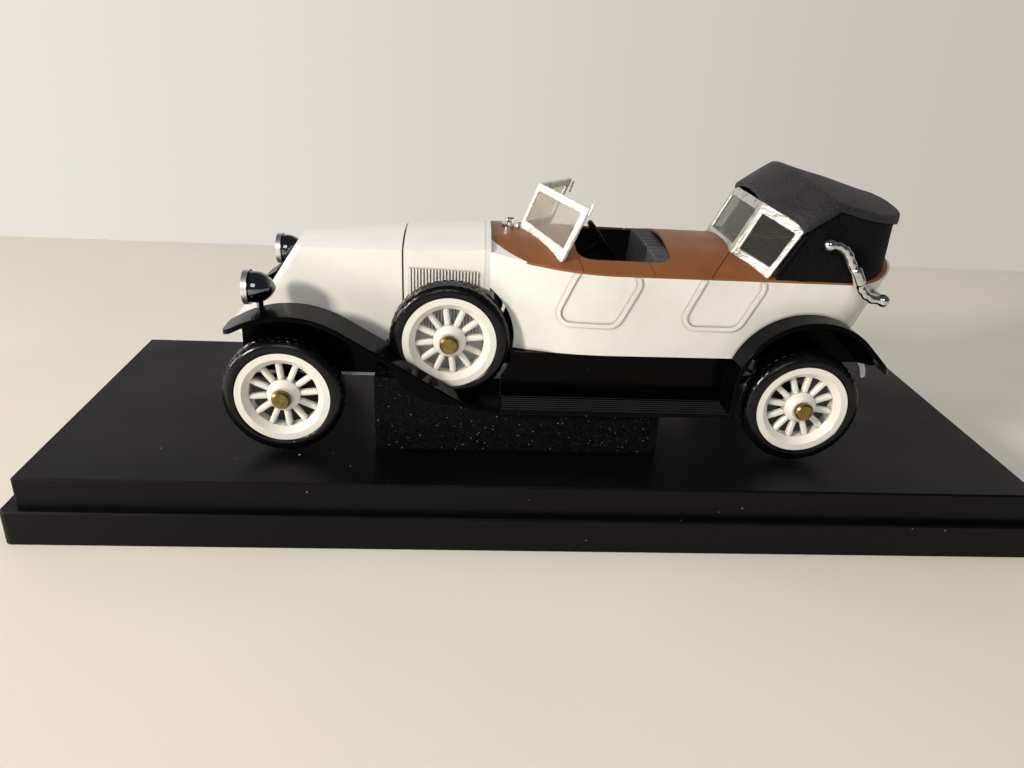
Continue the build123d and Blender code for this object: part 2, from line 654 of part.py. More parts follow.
# Running board: ribbed plate and the valance that closes the gap up to the tub
with BuildPart() as board:
    with BuildSketch(front_view(BOARD_REAR)) as board_section:
        with BuildLine():
            outline([(BOARD_INNER_Y, BOARD_UNDER), (GUARD_OUTER_Y, BOARD_UNDER),
                     (GUARD_OUTER_Y, BOARD_TOP + 2 * BOARD_RIB_HEIGHT),
                     (GUARD_OUTER_Y - BOARD_RIB_WIDTH, BOARD_TOP + 2 * BOARD_RIB_HEIGHT),
                     (GUARD_OUTER_Y - BOARD_RIB_WIDTH, BOARD_TOP),
                     (VALANCE_Y + VALANCE_THICKNESS, BOARD_TOP),
                     (VALANCE_Y + VALANCE_THICKNESS, BODY_BOTTOM), (VALANCE_Y, BODY_BOTTOM),
                     (VALANCE_Y, BOARD_TOP), (BOARD_INNER_Y, BOARD_TOP)])
        make_face()
    extrude(amount=BOARD_FRONT - BOARD_REAR)
    rib_span = GUARD_OUTER_Y - VALANCE_Y - VALANCE_THICKNESS
    with BuildSketch(front_view(BOARD_REAR + BOARD_RIB_WIDTH)):
        with Locations((GUARD_OUTER_Y - rib_span / 2, BOARD_TOP)):
            with GridLocations(rib_span / (BOARD_RIBS + 1), 0, BOARD_RIBS, 1):
                Rectangle(BOARD_RIB_WIDTH, 2 * BOARD_RIB_HEIGHT)
    extrude(amount=BOARD_FRONT - BOARD_REAR - 2 * BOARD_RIB_WIDTH)
    add(WELL_OUTSIDE, mode=Mode.SUBTRACT)
write(both_sides(board.part), "running_boards")

# Body shell: tub with raised door beads, and the louvred cowl ahead of it
BOTH_WELLS = both_sides(WELL_OUTSIDE)
BOTH_REAR_GUARDS = both_sides(REAR_GUARD_BLOCK)

with BuildPart() as deck_region:
    with BuildSketch(Plane.XY.offset(SHOULDER_Z - 5)):
        with Locations((DECK_NOSE_X, 0)):
            Circle(DECK_NOSE_RADIUS)
        with Locations((DECK_NOSE_X - REACH / 2, 0)):
            Rectangle(REACH, REACH)
    extrude(amount=20)
    add(UNDER_SKIN, mode=Mode.SUBTRACT)

with BuildPart() as door_beads:
    with BuildSketch(side_view(0)) as bead_lines:
        for front_x, rear_x in DOORS:
            with BuildSketch(side_view(0), mode=Mode.PRIVATE) as door:
                with BuildLine():
                    outline([(front_x, DOOR_TOP), (front_x + DOOR_FRONT_SLANT, DOOR_FOOT),
                             (rear_x + DOOR_REAR_SLANT, DOOR_FOOT), (rear_x, DOOR_TOP)])
                make_face()
                fillet(door.vertices().group_by(Axis.Z)[0], DOOR_CORNER)
            add(door.sketch)
            offset(door.sketch, amount=-BEAD_WIDTH, mode=Mode.SUBTRACT)
    extrude(amount=30, both=True)
    add(body_block(-BEAD_HEIGHT), mode=Mode.INTERSECT)
    add(body_block(BODY_WALL / 2), mode=Mode.SUBTRACT)

with BuildPart() as louvres:
    louvre_pitch = (LOUVRE_FRONT - LOUVRE_REAR) / (LOUVRE_COUNT - 1)
    with BuildSketch(side_view(0)):
        with Locations(((LOUVRE_FRONT + LOUVRE_REAR) / 2, (LOUVRE_TOP + LOUVRE_FOOT) / 2)):
            with GridLocations(louvre_pitch, 0, LOUVRE_COUNT, 1):
                Rectangle(LOUVRE_WIDTH, LOUVRE_TOP - LOUVRE_FOOT)
    extrude(amount=30, both=True)
    add(cowl_block(NOSE_SECTIONS[1:], -LOUVRE_PROUD), mode=Mode.INTERSECT)
    add(cowl_block(NOSE_SECTIONS[1:], SHELL_WALL / 2), mode=Mode.SUBTRACT)

with BuildPart() as body_shell:
    add(BODY)
    add(UNDER_DECK, mode=Mode.INTERSECT)
    add(CABIN, mode=Mode.SUBTRACT)
    add(door_beads.part)
    add(deck_region.part, mode=Mode.SUBTRACT)
    add(BOTH_WELLS, mode=Mode.SUBTRACT)
    add(BOTH_REAR_GUARDS, mode=Mode.SUBTRACT)
    with BuildPart(mode=Mode.PRIVATE) as cowl:
        add(cowl_block(NOSE_SECTIONS[1:], 0.0))
        add(cowl_block(NOSE_SECTIONS[1:], SHELL_WALL), mode=Mode.SUBTRACT)
        with BuildSketch(front_view(NOSE_SECTIONS[1][0] - COWL_SEAM)):
            Rectangle(REACH, REACH)
        extrude(amount=10, mode=Mode.SUBTRACT)
    add(cowl.part)
    add(louvres.part)
    with BuildPart(mode=Mode.PRIVATE) as seam_bead:
        bead_row = NOSE_SECTIONS[2]
        extrude(nose_section(*bead_row, inset=-SEAM_BEAD_PROUD), amount=SEAM_BEAD_WIDTH / 2, both=True)
        add(cowl_block([(BODY_FRONT + 5,) + bead_row[1:], (BODY_FRONT - 5,) + bead_row[1:]], SHELL_WALL),
            mode=Mode.SUBTRACT)
        add(both_sides(WELL_INSIDE), mode=Mode.SUBTRACT)
    add(seam_bead.part)
    for side in (1, -1):
        carrier = Plane(origin=(SPARE_X, side * NOSE_SECTIONS[1][1], SPARE_Z), z_dir=(0, side, 0))
        peg_end = SPARE_FACE_Y + HUB_NOSE - HUB_SKIN - SPINDLE_END - NOSE_SECTIONS[1][1]
        with BuildSketch(carrier):
            Circle(SPINDLE_RADIUS)
        extrude(amount=peg_end)
        with BuildSketch(carrier):
            Circle(HUB_NOSE_RADIUS)
        extrude(amount=SPARE_FACE_Y - HUB_BACK - SPINDLE_GAP - NOSE_SECTIONS[1][1])
write(body_shell.part, "body_shell")

# Deck: crowned skin with upright edges and the two cockpit openings
with BuildPart() as deck:
    add(BODY)
    with BuildPart(mode=Mode.PRIVATE) as upright:
        extrude(body_plan(SHOULDER_Z), amount=SHOULDER_Z, both=True)
    add(upright.part, mode=Mode.INTERSECT)
    add(UNDER_DECK, mode=Mode.INTERSECT)
    add(deck_region.part, mode=Mode.INTERSECT)
    cockpit_front = DASH_X - DASH_THICKNESS
    with BuildSketch(Plane.XY.offset(SHOULDER_Z - 5)):
        with Locations(((cockpit_front + COCKPIT_REAR) / 2, 0)):
            RectangleRounded(cockpit_front - COCKPIT_REAR, 2 * COCKPIT_HALF, COCKPIT_CORNER)
        with Locations(((REAR_WELL_FRONT + REAR_WELL_REAR) / 2, 0)):
            RectangleRounded(REAR_WELL_FRONT - REAR_WELL_REAR, 2 * REAR_WELL_HALF, COCKPIT_CORNER)
    extrude(amount=20, mode=Mode.SUBTRACT)
    add(seam_bead.part, mode=Mode.SUBTRACT)
    with BuildPart(mode=Mode.PRIVATE) as seams:
        with BuildSketch(Plane.XY.offset(SHOULDER_Z - 5)):
            for (start_x, start_y), (end_x, end_y) in DECK_SEAMS:
                run = Vector(end_x - start_x, end_y - start_y)
                middle = ((start_x + end_x) / 2, (start_y + end_y) / 2)
                with Locations(middle):
                    Rectangle(run.length, DECK_SEAM, rotation=run.get_angle(Vector(1, 0)))
            mirror(about=Plane.XZ)
        extrude(amount=20)
        add(crown_block(DECK_SEAM_DEPTH), mode=Mode.SUBTRACT)
    add(seams.part, mode=Mode.SUBTRACT)
write(deck.part, "deck")

# Chassis frame: two stepped rails tied by cross members
with BuildPart() as chassis_frame:
    rail_rise = BODY_BOTTOM - SILL_Z
    with BuildSketch(side_view(RAIL_Y + RAIL_WIDTH / 2)):
        with BuildLine():
            outline([(RAIL_FRONT, RAIL_BOTTOM), (RAIL_FRONT, SILL_Z), (RAIL_STEP[0], SILL_Z),
                     (RAIL_STEP[1], SILL_Z + rail_rise), (RAIL_REAR, SILL_Z + rail_rise),
                     (RAIL_REAR, RAIL_BOTTOM + rail_rise), (RAIL_STEP[1], RAIL_BOTTOM + rail_rise),
                     (RAIL_STEP[0], RAIL_BOTTOM)])
        make_face()
    extrude(amount=RAIL_WIDTH)
    horn_root = (RAIL_REAR + HORN_THICKNESS, SILL_Z + rail_rise - HORN_THICKNESS / 2)
    horn_line = ThreePointArc(horn_root, HORN_BEND, HORN_TIP, mode=Mode.PRIVATE)
    with BuildSketch(side_view(RAIL_Y + RAIL_WIDTH / 2)):
        SlotArc(horn_line, HORN_THICKNESS)
    extrude(amount=RAIL_WIDTH)
    mirror(about=Plane.XZ)
    for cross_x in CROSS_MEMBERS:
        with Locations((cross_x, 0, RAIL_BOTTOM + CROSS_HEIGHT / 2)):
            Box(CROSS_WIDTH, 2 * RAIL_Y, CROSS_HEIGHT)
    with Locations((RAIL_REAR + CROSS_WIDTH / 2, 0, RAIL_BOTTOM + rail_rise + CROSS_HEIGHT / 2)):
        Box(CROSS_WIDTH, 2 * RAIL_Y, CROSS_HEIGHT)
write(chassis_frame.part, "chassis_frame")


def axle_end(x):
    """Brake drum and spindle on the left end of an axle."""
    drum_end = RIM_FACE_Y - HUB_BACK - DRUM_GAP
    spindle_tip = RIM_FACE_Y + HUB_NOSE - HUB_SKIN - SPINDLE_END
    with BuildPart() as end:
        with BuildSketch(side_view(drum_end)):
            with Locations((x, 0)):
                Circle(DRUM_RADIUS)
        extrude(amount=DRUM_WIDTH)
        with BuildSketch(side_view(spindle_tip)):
            with Locations((x, 0)):
                Circle(SPINDLE_RADIUS)
        extrude(amount=spindle_tip - drum_end)
    return end.part


with BuildPart() as front_axle:
    axle_x = AXLE_X
    with BuildSketch(front_view(axle_x)):
        with BuildLine():
            low, high = -BEAM_DROP - BEAM / 2, -BEAM_DROP + BEAM / 2
            outline([(KNUCKLE_Y, BEAM / 2), (BEAM_DROP_Y + BEAM, BEAM / 2), (BEAM_DROP_Y, high),
                     (-BEAM_DROP_Y, high), (-BEAM_DROP_Y - BEAM, BEAM / 2), (-KNUCKLE_Y, BEAM / 2),
                     (-KNUCKLE_Y, -BEAM / 2),
                     (-BEAM_DROP_Y - BEAM, -BEAM / 2), (-BEAM_DROP_Y, low), (BEAM_DROP_Y, low),
                     (BEAM_DROP_Y + BEAM, -BEAM / 2), (KNUCKLE_Y, -BEAM / 2)])
        make_face()
    extrude(amount=BEAM / 2, both=True)
    for side in (1, -1):
        with Locations((axle_x, side * KNUCKLE_Y, 0)):
            Cylinder(KNUCKLE_RADIUS, KNUCKLE_HEIGHT)
    add(axle_end(axle_x))
    add(mirror(axle_end(axle_x), about=Plane.XZ))
write(front_axle.part, "front_axle")

with BuildPart() as rear_axle:
    axle_x = -AXLE_X
    with BuildSketch(side_view(KNUCKLE_Y + 1)):
        with Locations((axle_x, 0)):
            Circle(AXLE_RADIUS)
    extrude(amount=2 * KNUCKLE_Y + 2)
    with Locations((axle_x, 0, 0)):
        Sphere(DIFF_RADIUS)
    add(axle_end(axle_x))
    add(mirror(axle_end(axle_x), about=Plane.XZ))
write(rear_axle.part, "rear_axle")

# Leaf springs between each axle and the rails above it: two leaves and a block at each end
for label, axle_x, seat_z, rail_z, half_span, short_span in SPRINGS:
    with BuildPart() as spring:
        eye_z = rail_z - LEAF
        with BuildSketch(side_view(RAIL_Y + SPRING_WIDTH / 2)):
            with BuildLine():
                ThreePointArc((axle_x - half_span, eye_z), (axle_x, seat_z), (axle_x + half_span, eye_z))
                Line((axle_x + half_span, eye_z), (axle_x + half_span, eye_z + LEAF))
                ThreePointArc((axle_x + half_span, eye_z + LEAF), (axle_x, seat_z + LEAF),
                              (axle_x - half_span, eye_z + LEAF))
                Line((axle_x - half_span, eye_z + LEAF), (axle_x - half_span, eye_z))
            make_face()
        extrude(amount=SPRING_WIDTH)
        with BuildSketch(side_view(RAIL_Y + SPRING_WIDTH / 2)):
            with Locations((axle_x - half_span, rail_z - LEAF), (axle_x + half_span, rail_z - LEAF)):
                Rectangle(2 * LEAF, 2 * LEAF)
            with Locations((axle_x, seat_z + 1.5 * LEAF)):
                Rectangle(4 * LEAF, LEAF)
        extrude(amount=SPRING_WIDTH)
    write(both_sides(spring.part), label)

# Floor: low pan on the rails, step, and high pan over the rear axle
with BuildPart() as cabin_floor:
    t = FLOOR_THICKNESS
    pan_front = SPARE_X - WELL_RADIUS
    step_x = BOARD_REAR
    with BuildSketch(side_view(VALANCE_Y)):
        with BuildLine():
            outline([(pan_front, SILL_Z), (pan_front, SILL_Z + t), (step_x + t, SILL_Z + t),
                     (step_x + t, BODY_BOTTOM + t), (step_x, BODY_BOTTOM + t), (step_x, SILL_Z)])
        make_face()
    extrude(amount=2 * VALANCE_Y)
    with BuildPart(mode=Mode.PRIVATE) as high_pan:
        extrude(body_plan(BODY_BOTTOM, BODY_WALL), amount=t)
        with Locations((step_x + TAIL_X, 0, BODY_BOTTOM)):
            Box(-2 * TAIL_X, 2 * GUARD_INNER_Y, 4 * t, mode=Mode.INTERSECT)
    add(high_pan.part)
    add(chassis_frame.part, mode=Mode.SUBTRACT)
    add(body_shell.part, mode=Mode.SUBTRACT)
write(cabin_floor.part, "cabin_floor")

# Lining: black walls inside the tub, behind the dashboard
with BuildPart() as cabin_lining:
    add(CABIN)
    add(body_block(BODY_WALL + LINING), mode=Mode.SUBTRACT)
    with BuildSketch(front_view(DASH_X - DASH_THICKNESS)):
        Rectangle(REACH, REACH)
    extrude(amount=REACH, mode=Mode.SUBTRACT)
    add(cabin_floor.part, mode=Mode.SUBTRACT)
    add(BOTH_REAR_GUARDS, mode=Mode.SUBTRACT)
write(cabin_lining.part, "cabin_lining")

# Dashboard, filling the tub under the deck ahead of the driver
with BuildPart() as dashboard:
    with Locations((DASH_X - DASH_THICKNESS / 2, 0, DASH_FOOT + 10)):
        Box(DASH_THICKNESS, 60, 20)
    add(CABIN, mode=Mode.INTERSECT)
write(dashboard.part, "dashboard")


with BuildPart() as seat_room:
    add(body_block(BODY_WALL + LINING + LINING_GAP))
    add(UNDER_SKIN, mode=Mode.INTERSECT)
SEAT_ROOM = seat_room.part


def seat_side(front, rear, cushion_z, back_z, floor_z, y, inset=0.0):
    """Side view of a bench: box base and cushion, and a leaning back with a rounded top."""
    with BuildSketch(side_view(y)) as side:
        with BuildLine():
            outline([(front, floor_z), (front, cushion_z), (rear + SEAT_BACK + 1.2, cushion_z - 0.8),
                     (rear + SEAT_BACK, back_z), (rear, back_z), (rear, floor_z)])
        make_face()
        fillet(side.vertices().filter_by(lambda v: v.Z > cushion_z - 0.5), SEAT_ROUND)
        if inset:
            offset(amount=-inset, mode=Mode.REPLACE)
    return side.sketch


def seat(front, rear, half, cushion_z, back_z, floor_z):
    """Bench with its cushion and back pleated from side to side."""
    shape = (front, rear, cushion_z, back_z, floor_z)
    pleats = round(2 * half / PLEAT_PITCH)
    with BuildPart() as groove:
        extrude(seat_side(*shape, PLEAT_GROOVE / 2), amount=PLEAT_GROOVE)
        extrude(seat_side(*shape, PLEAT_GROOVE / 2, PLEAT_GROOVE), amount=PLEAT_GROOVE, mode=Mode.SUBTRACT)
    with BuildPart() as bench:
        extrude(seat_side(*shape, half), amount=2 * half)
        with Locations(*[(0, 2 * half * (count / pleats - 0.5), 0) for count in range(1, pleats)]):
            add(groove.part, mode=Mode.SUBTRACT)
        add(SEAT_ROOM, mode=Mode.INTERSECT)
    return bench.part


write(seat(*FRONT_SEAT, SILL_Z + FLOOR_THICKNESS), "front_seat")
write(seat(*REAR_SEAT, BODY_BOTTOM + FLOOR_THICKNESS), "rear_seat")

# Steering column and wheel
wheel_plane = Plane(origin=STEERING_CENTRE, x_dir=(0, 1, 0), z_dir=STEERING_RAKE)
with BuildPart() as steering_wheel:
    with BuildSketch(Plane(origin=wheel_plane.origin, x_dir=wheel_plane.x_dir, z_dir=wheel_plane.y_dir)):
        with Locations((STEERING_RADIUS, 0)):
            Circle(STEERING_RIM)
    revolve(axis=Axis(wheel_plane.origin, wheel_plane.z_dir))
    with BuildSketch(wheel_plane):
        with PolarLocations(0, 4, start_angle=45):
            with Locations((STEERING_RADIUS / 2, 0)):
                Rectangle(STEERING_RADIUS, STEERING_RIM)
        Circle(2.2 * STEERING_RIM)
    extrude(amount=STEERING_RIM / 2, both=True)
write(steering_wheel.part, "steering_wheel")

with BuildPart() as steering_column:
    with BuildSketch(wheel_plane.offset(-STEERING_RIM / 2)):
        Circle(COLUMN_RADIUS)
    extrude(until=Until.NEXT, target=dashboard.part, dir=-wheel_plane.z_dir)
write(steering_column.part, "steering_column")


# Screens: every pane is an outline in its own plane
def pane_plane(foot, top, outer):
    """Plane of a pane through its centre foot, centre top and an outer corner, foot at the origin."""
    upward = Vector(*top) - Vector(*foot)
    outward = Vector(*outer) - Vector(*foot)
    normal = outward.cross(upward)
    return Plane(origin=foot, x_dir=upward.cross(normal) * -1, z_dir=normal)


def on_plane(plane, points):
    """The points' own coordinates on the plane."""
    return [(plane.to_local_coords(Vector(*p)).X, plane.to_local_coords(Vector(*p)).Y) for p in points]


def pane(plane, corners, inset, thickness):
    """Flat pane with these corners, pulled in all round by inset."""
    with BuildPart() as sheet:
        with BuildSketch(plane) as face:
            with BuildLine():
                outline(on_plane(plane, corners))
            make_face()
            if inset:
                offset(amount=-inset, kind=Kind.INTERSECTION, mode=Mode.REPLACE)
        extrude(amount=thickness / 2, both=True)
    return sheet.part


def lowered(point, toward, drop):
    """A foot moved down along its post by drop."""
    post = Vector(*point) - Vector(*toward)
    moved = Vector(*point) + post.normalized() * drop
    return (moved.X, moved.Y, moved.Z)


def inward(point, amount):
    """A centre corner moved across the centreline."""
    return (point[0], point[1] - amount, point[2])


screen_plane = pane_plane(SCREEN_CENTRE_FOOT, SCREEN_CENTRE_TOP, SCREEN_OUTER_TOP)
skirt_foot = lowered(SCREEN_CENTRE_FOOT, SCREEN_CENTRE_TOP, SCREEN_SKIRT)
screen_outline = [inward(skirt_foot, SCREEN_BAR), inward(SCREEN_CENTRE_TOP, SCREEN_BAR), SCREEN_OUTER_TOP,
                  lowered(SCREEN_OUTER_FOOT, SCREEN_OUTER_TOP, SCREEN_SKIRT)]
over_centre = SCREEN_BAR - SCREEN_CENTRE_BAR
screen_hole = [inward(SCREEN_CENTRE_FOOT, over_centre), inward(SCREEN_CENTRE_TOP, over_centre),
               SCREEN_OUTER_TOP, SCREEN_OUTER_FOOT]
with BuildPart() as windscreen_frame:
    add(pane(screen_plane, screen_outline, 0.0, SCREEN_THICKNESS))
    add(pane(screen_plane, screen_hole, SCREEN_BAR, 3 * SCREEN_THICKNESS), mode=Mode.SUBTRACT)
    split(bisect_by=Plane.XZ, keep=Keep.BOTTOM)
    add(UNDER_DECK, mode=Mode.SUBTRACT)
    mirror(about=Plane.XZ)
write(windscreen_frame.part, "windscreen_frame")
write(both_sides(pane(screen_plane, screen_hole, SCREEN_BAR, GLASS_THICKNESS)), "windscreen_glass")


def leaning_block(x, z, slope, radius, drop):
    """Everything under an arched surface that passes through (x, z) and changes by slope along x."""
    ends = []
    for end_x in (DECK_FRONT_X, DECK_REAR_X):
        apex = z + slope * (end_x - x) - drop
        ends.append(arch_face(apex, radius - drop, 0.9 * radius - 4, -30.0, front_view(end_x)))
    with BuildPart() as block:
        loft(ends, ruled=True)
    return block.part


FACET_INSIDE = leaning_block(HOOD_FRONT_X, FACET_Z, FACET_SLOPE, FACET_CROWN_RADIUS, HOOD_SKIN)

# Rear screen: upright centre pane between two posts, a wing swept back on each side
post_foot = lowered(REAR_POST_FOOT, REAR_POST_TOP, SCREEN_SKIRT)
post_top = lowered(REAR_POST_TOP, REAR_POST_FOOT, REAR_TUCK)
wing_foot = lowered(REAR_WING_FOOT, REAR_WING_TOP, SCREEN_SKIRT)
wing_top = lowered(REAR_WING_TOP, REAR_WING_FOOT, REAR_TUCK)
other_side = [(x, -y, z) for x, y, z in (REAR_POST_TOP, REAR_POST_FOOT, post_top, post_foot)]
centre_plane = pane_plane(REAR_POST_FOOT, REAR_POST_TOP, other_side[0])
wing_plane = pane_plane(REAR_POST_FOOT, REAR_POST_TOP, REAR_WING_TOP)
centre_hole = [REAR_POST_FOOT, REAR_POST_TOP, other_side[0], other_side[1]]
wing_hole = [REAR_POST_FOOT, REAR_POST_TOP, REAR_WING_TOP, REAR_WING_FOOT]
with BuildPart() as wing:
    add(pane(wing_plane, [post_foot, post_top, wing_top, wing_foot], 0.0, SCREEN_THICKNESS))
    post = Vector(*post_top) - Vector(*post_foot)
    with BuildSketch(Plane(origin=post_foot, z_dir=post)):
        Circle(SCREEN_THICKNESS / 2)
    extrude(amount=post.length)
    add(pane(wing_plane, wing_hole, REAR_BAR, 3 * SCREEN_THICKNESS), mode=Mode.SUBTRACT)

with BuildPart() as rear_screen_frame:
    add(pane(centre_plane, [post_foot, post_top, other_side[2], other_side[3]], 0.0, SCREEN_THICKNESS))
    add(pane(centre_plane, centre_hole, REAR_BAR, 3 * SCREEN_THICKNESS), mode=Mode.SUBTRACT)
    add(wing.part)
    add(mirror(wing.part, about=Plane.XZ))
    add(UNDER_DECK, mode=Mode.SUBTRACT)
    add(FACET_INSIDE, mode=Mode.INTERSECT)
write(rear_screen_frame.part, "rear_screen_frame")

wing_glass = pane(wing_plane, wing_hole, REAR_BAR, GLASS_THICKNESS)
centre_glass = pane(centre_plane, centre_hole, REAR_BAR, GLASS_THICKNESS)
write(Compound(centre_glass.solids() + both_sides(wing_glass).solids()), "rear_screen_glass")


# Folding top: a plan outline cut by the front facet and the roof, both arched
def hood_plan(inset, front_x, front_half):
    """The top's plan: front edge, swept corners, straight sides and rounded rear."""
    with BuildSketch(Plane.XY.offset(BODY_BOTTOM)) as plan:
        with BuildLine():
            outline(mirrored([(front_x, front_half), (HOOD_CORNER_X, HOOD_HALF - inset),
                              (HOOD_REAR_X + inset, HOOD_HALF - inset)]))
        make_face()
        fillet(plan.vertices().group_by(Axis.X)[0], HOOD_REAR_RADIUS - inset)
    return plan.sketch


def hood_block(inset, front_x, front_half):
    """All that lies inside the top, pulled in by inset."""
    with BuildPart() as block:
        extrude(hood_plan(inset, front_x, front_half), amount=60)
        add(leaning_block(HOOD_FRONT_X, FACET_Z, FACET_SLOPE, FACET_CROWN_RADIUS, inset),
            mode=Mode.INTERSECT)
        add(leaning_block(ROOF_X, ROOF_Z, ROOF_SLOPE, ROOF_CROWN_RADIUS, inset), mode=Mode.INTERSECT)
    return block.part


def side_region(points, z_far):
    """Prism across the car between a line in side view and a level."""
    with BuildPart() as region:
        with BuildSketch(side_view(0)):
            with BuildLine():
                outline(list(points) + [(points[-1][0], z_far), (points[0][0], z_far)])
            make_face()
        extrude(amount=60, both=True)
    return region.part


with BuildPart() as hood_top:
    add(hood_block(0.0, HOOD_FRONT_X, HOOD_FRONT_HALF))
    rim = hood_top.edges().filter_by(lambda e: e.center().Z > FACET_Z - 8)
    fillet(rim, ROOF_ROUND)
    add(hood_block(HOOD_SKIN, HOOD_FRONT_X + 5, HOOD_HALF - HOOD_SKIN), mode=Mode.SUBTRACT)
    add(side_region(HOOD_LIP, 60.0), mode=Mode.INTERSECT)
    add(rear_screen_frame.part, mode=Mode.SUBTRACT)
write(hood_top.part, "hood_top")

with BuildPart() as hood_curtain:
    extrude(hood_plan(CURTAIN_INSET, HOOD_CORNER_X + 6, HOOD_HALF - CURTAIN_INSET), amount=60)
    inner_inset = CURTAIN_INSET + CURTAIN_WALL
    extrude(hood_plan(inner_inset, HOOD_CORNER_X + 7, HOOD_HALF - inner_inset), amount=60,
            mode=Mode.SUBTRACT)
    add(side_region(HOOD_LIP, BODY_BOTTOM), mode=Mode.INTERSECT)
    add(side_region([(CURTAIN_FRONT_FOOT_X, 23.6), (CURTAIN_FRONT_TOP_X, 31.0), (CURTAIN_FRONT_TOP_X, 60.0),
                     (HOOD_REAR_X - 5, 60.0)], 10.0), mode=Mode.INTERSECT)
    add(UNDER_DECK, mode=Mode.SUBTRACT)
    add(rear_screen_frame.part, mode=Mode.SUBTRACT)
    add(hood_top.part, mode=Mode.SUBTRACT)
write(hood_curtain.part, "hood_curtain")

# Landau iron: bent rod with a ball at each end, a block at its joint and studs into the body
with BuildPart() as landau_iron:
    for (x, z), (next_x, next_z) in zip(LANDAU_PATH, LANDAU_PATH[1:]):
        start = Vector(x, LANDAU_Y, z)
        run = Vector(next_x, LANDAU_Y, next_z) - start
        with BuildSketch(Plane(origin=start, z_dir=run)):
            Circle(LANDAU_ROD)
        extrude(amount=run.length)
    for x, z in LANDAU_PATH[1:-1]:
        with Locations((x, LANDAU_Y, z)):
            Sphere(1.2 * LANDAU_ROD, rotation=(0, 0, 90))
    for end_x, end_z in (LANDAU_PATH[0], LANDAU_PATH[-1]):
        with Locations((end_x, LANDAU_Y, end_z)):
            Sphere(LANDAU_BALL, rotation=(0, 0, 90))
        with BuildSketch(side_view(LANDAU_Y)):
            with Locations((end_x, end_z)):
                Circle(LANDAU_ROD)
        extrude(amount=LANDAU_Y - RAIL_Y)
    with Locations((LANDAU_BLOCK[0], LANDAU_Y, LANDAU_BLOCK[1])):
        Box(LANDAU_BLOCK_SIZE[0], 2 * LANDAU_BALL, LANDAU_BLOCK_SIZE[1], rotation=(0, LANDAU_BLOCK_LEAN, 0))
    with BuildPart(mode=Mode.PRIVATE) as curtain_block:
        extrude(hood_plan(CURTAIN_INSET, HOOD_CORNER_X + 6, HOOD_HALF - CURTAIN_INSET), amount=60)
    add(curtain_block.part, mode=Mode.SUBTRACT)
    add(BODY, mode=Mode.SUBTRACT)
write(both_sides(landau_iron.part), "landau_irons")

# Headlamps
with BuildPart() as headlamp:
    lamp_axis = Axis((0, LAMP_Y, LAMP_Z), (1, 0, 0))
    ring_back = LAMP_FRONT - LAMP_RING_WIDTH
    with BuildSketch(side_view(LAMP_Y)):
        with BuildLine():
            Polyline((ring_back - LAMP_BUCKET_DEPTH, LAMP_Z), (LAMP_FRONT - LENS_SEAT, LAMP_Z),
                     (LAMP_FRONT - LENS_SEAT, LAMP_Z + LENS_RADIUS), (LAMP_FRONT, LAMP_Z + LENS_RADIUS),
                     (LAMP_FRONT, LAMP_Z + LAMP_RING_RADIUS), (ring_back, LAMP_Z + LAMP_RING_RADIUS),
                     (ring_back, LAMP_Z + LAMP_BUCKET_RADIUS))
            ThreePointArc((ring_back, LAMP_Z + LAMP_BUCKET_RADIUS),
                          (ring_back - 0.7 * LAMP_BUCKET_DEPTH, LAMP_Z + 0.72 * LAMP_BUCKET_RADIUS),
                          (ring_back - LAMP_BUCKET_DEPTH, LAMP_Z))
        make_face()
    revolve(axis=lamp_axis)
    with BuildSketch(Plane.XY.offset(LAMP_Z - 0.5 * LAMP_BUCKET_RADIUS)):
        with Locations((LAMP_STEM_X, LAMP_Y)):
            Circle(LAMP_STEM_RADIUS)
    extrude(amount=-LAMP_RING_RADIUS - LAMP_BUCKET_RADIUS)
    add(FRONT_GUARD_BLOCK, mode=Mode.SUBTRACT)
write(both_sides(headlamp.part), "headlamps")

with BuildPart() as lens:
    with BuildSketch(side_view(LAMP_Y)):
        with BuildLine():
            lens_back, lens_rim = LAMP_FRONT - LENS_SEAT, LAMP_FRONT - LENS_SEAT + LENS_RIM
            Polyline((lens_rim + LENS_DOME, LAMP_Z), (lens_back, LAMP_Z), (lens_back, LAMP_Z + LENS_RADIUS),
                     (lens_rim, LAMP_Z + LENS_RADIUS))
            dome_radius = (LENS_RADIUS**2 + LENS_DOME**2) / (2 * LENS_DOME)
            half_drop = dome_radius - sqrt(dome_radius**2 - LENS_RADIUS**2 / 4)
            ThreePointArc((lens_rim, LAMP_Z + LENS_RADIUS),
                          (lens_rim + LENS_DOME - half_drop, LAMP_Z + LENS_RADIUS / 2),
                          (lens_rim + LENS_DOME, LAMP_Z))
        make_face()
    revolve(axis=lamp_axis)
write(both_sides(lens.part), "headlamp_lenses")

with BuildPart() as cowl_cap:
    with BuildSketch(side_view(0)):
        with BuildLine():
            outline([(CAP_X, CAP_PROFILE[0][1])] + [(CAP_X + r, z) for r, z in CAP_PROFILE]
                    + [(CAP_X, CAP_PROFILE[-1][1])])
        make_face()
    revolve(axis=Axis((CAP_X, 0, 0), (0, 0, 1)))
    add(UNDER_DECK, mode=Mode.SUBTRACT)
write(cowl_cap.part, "cowl_cap")

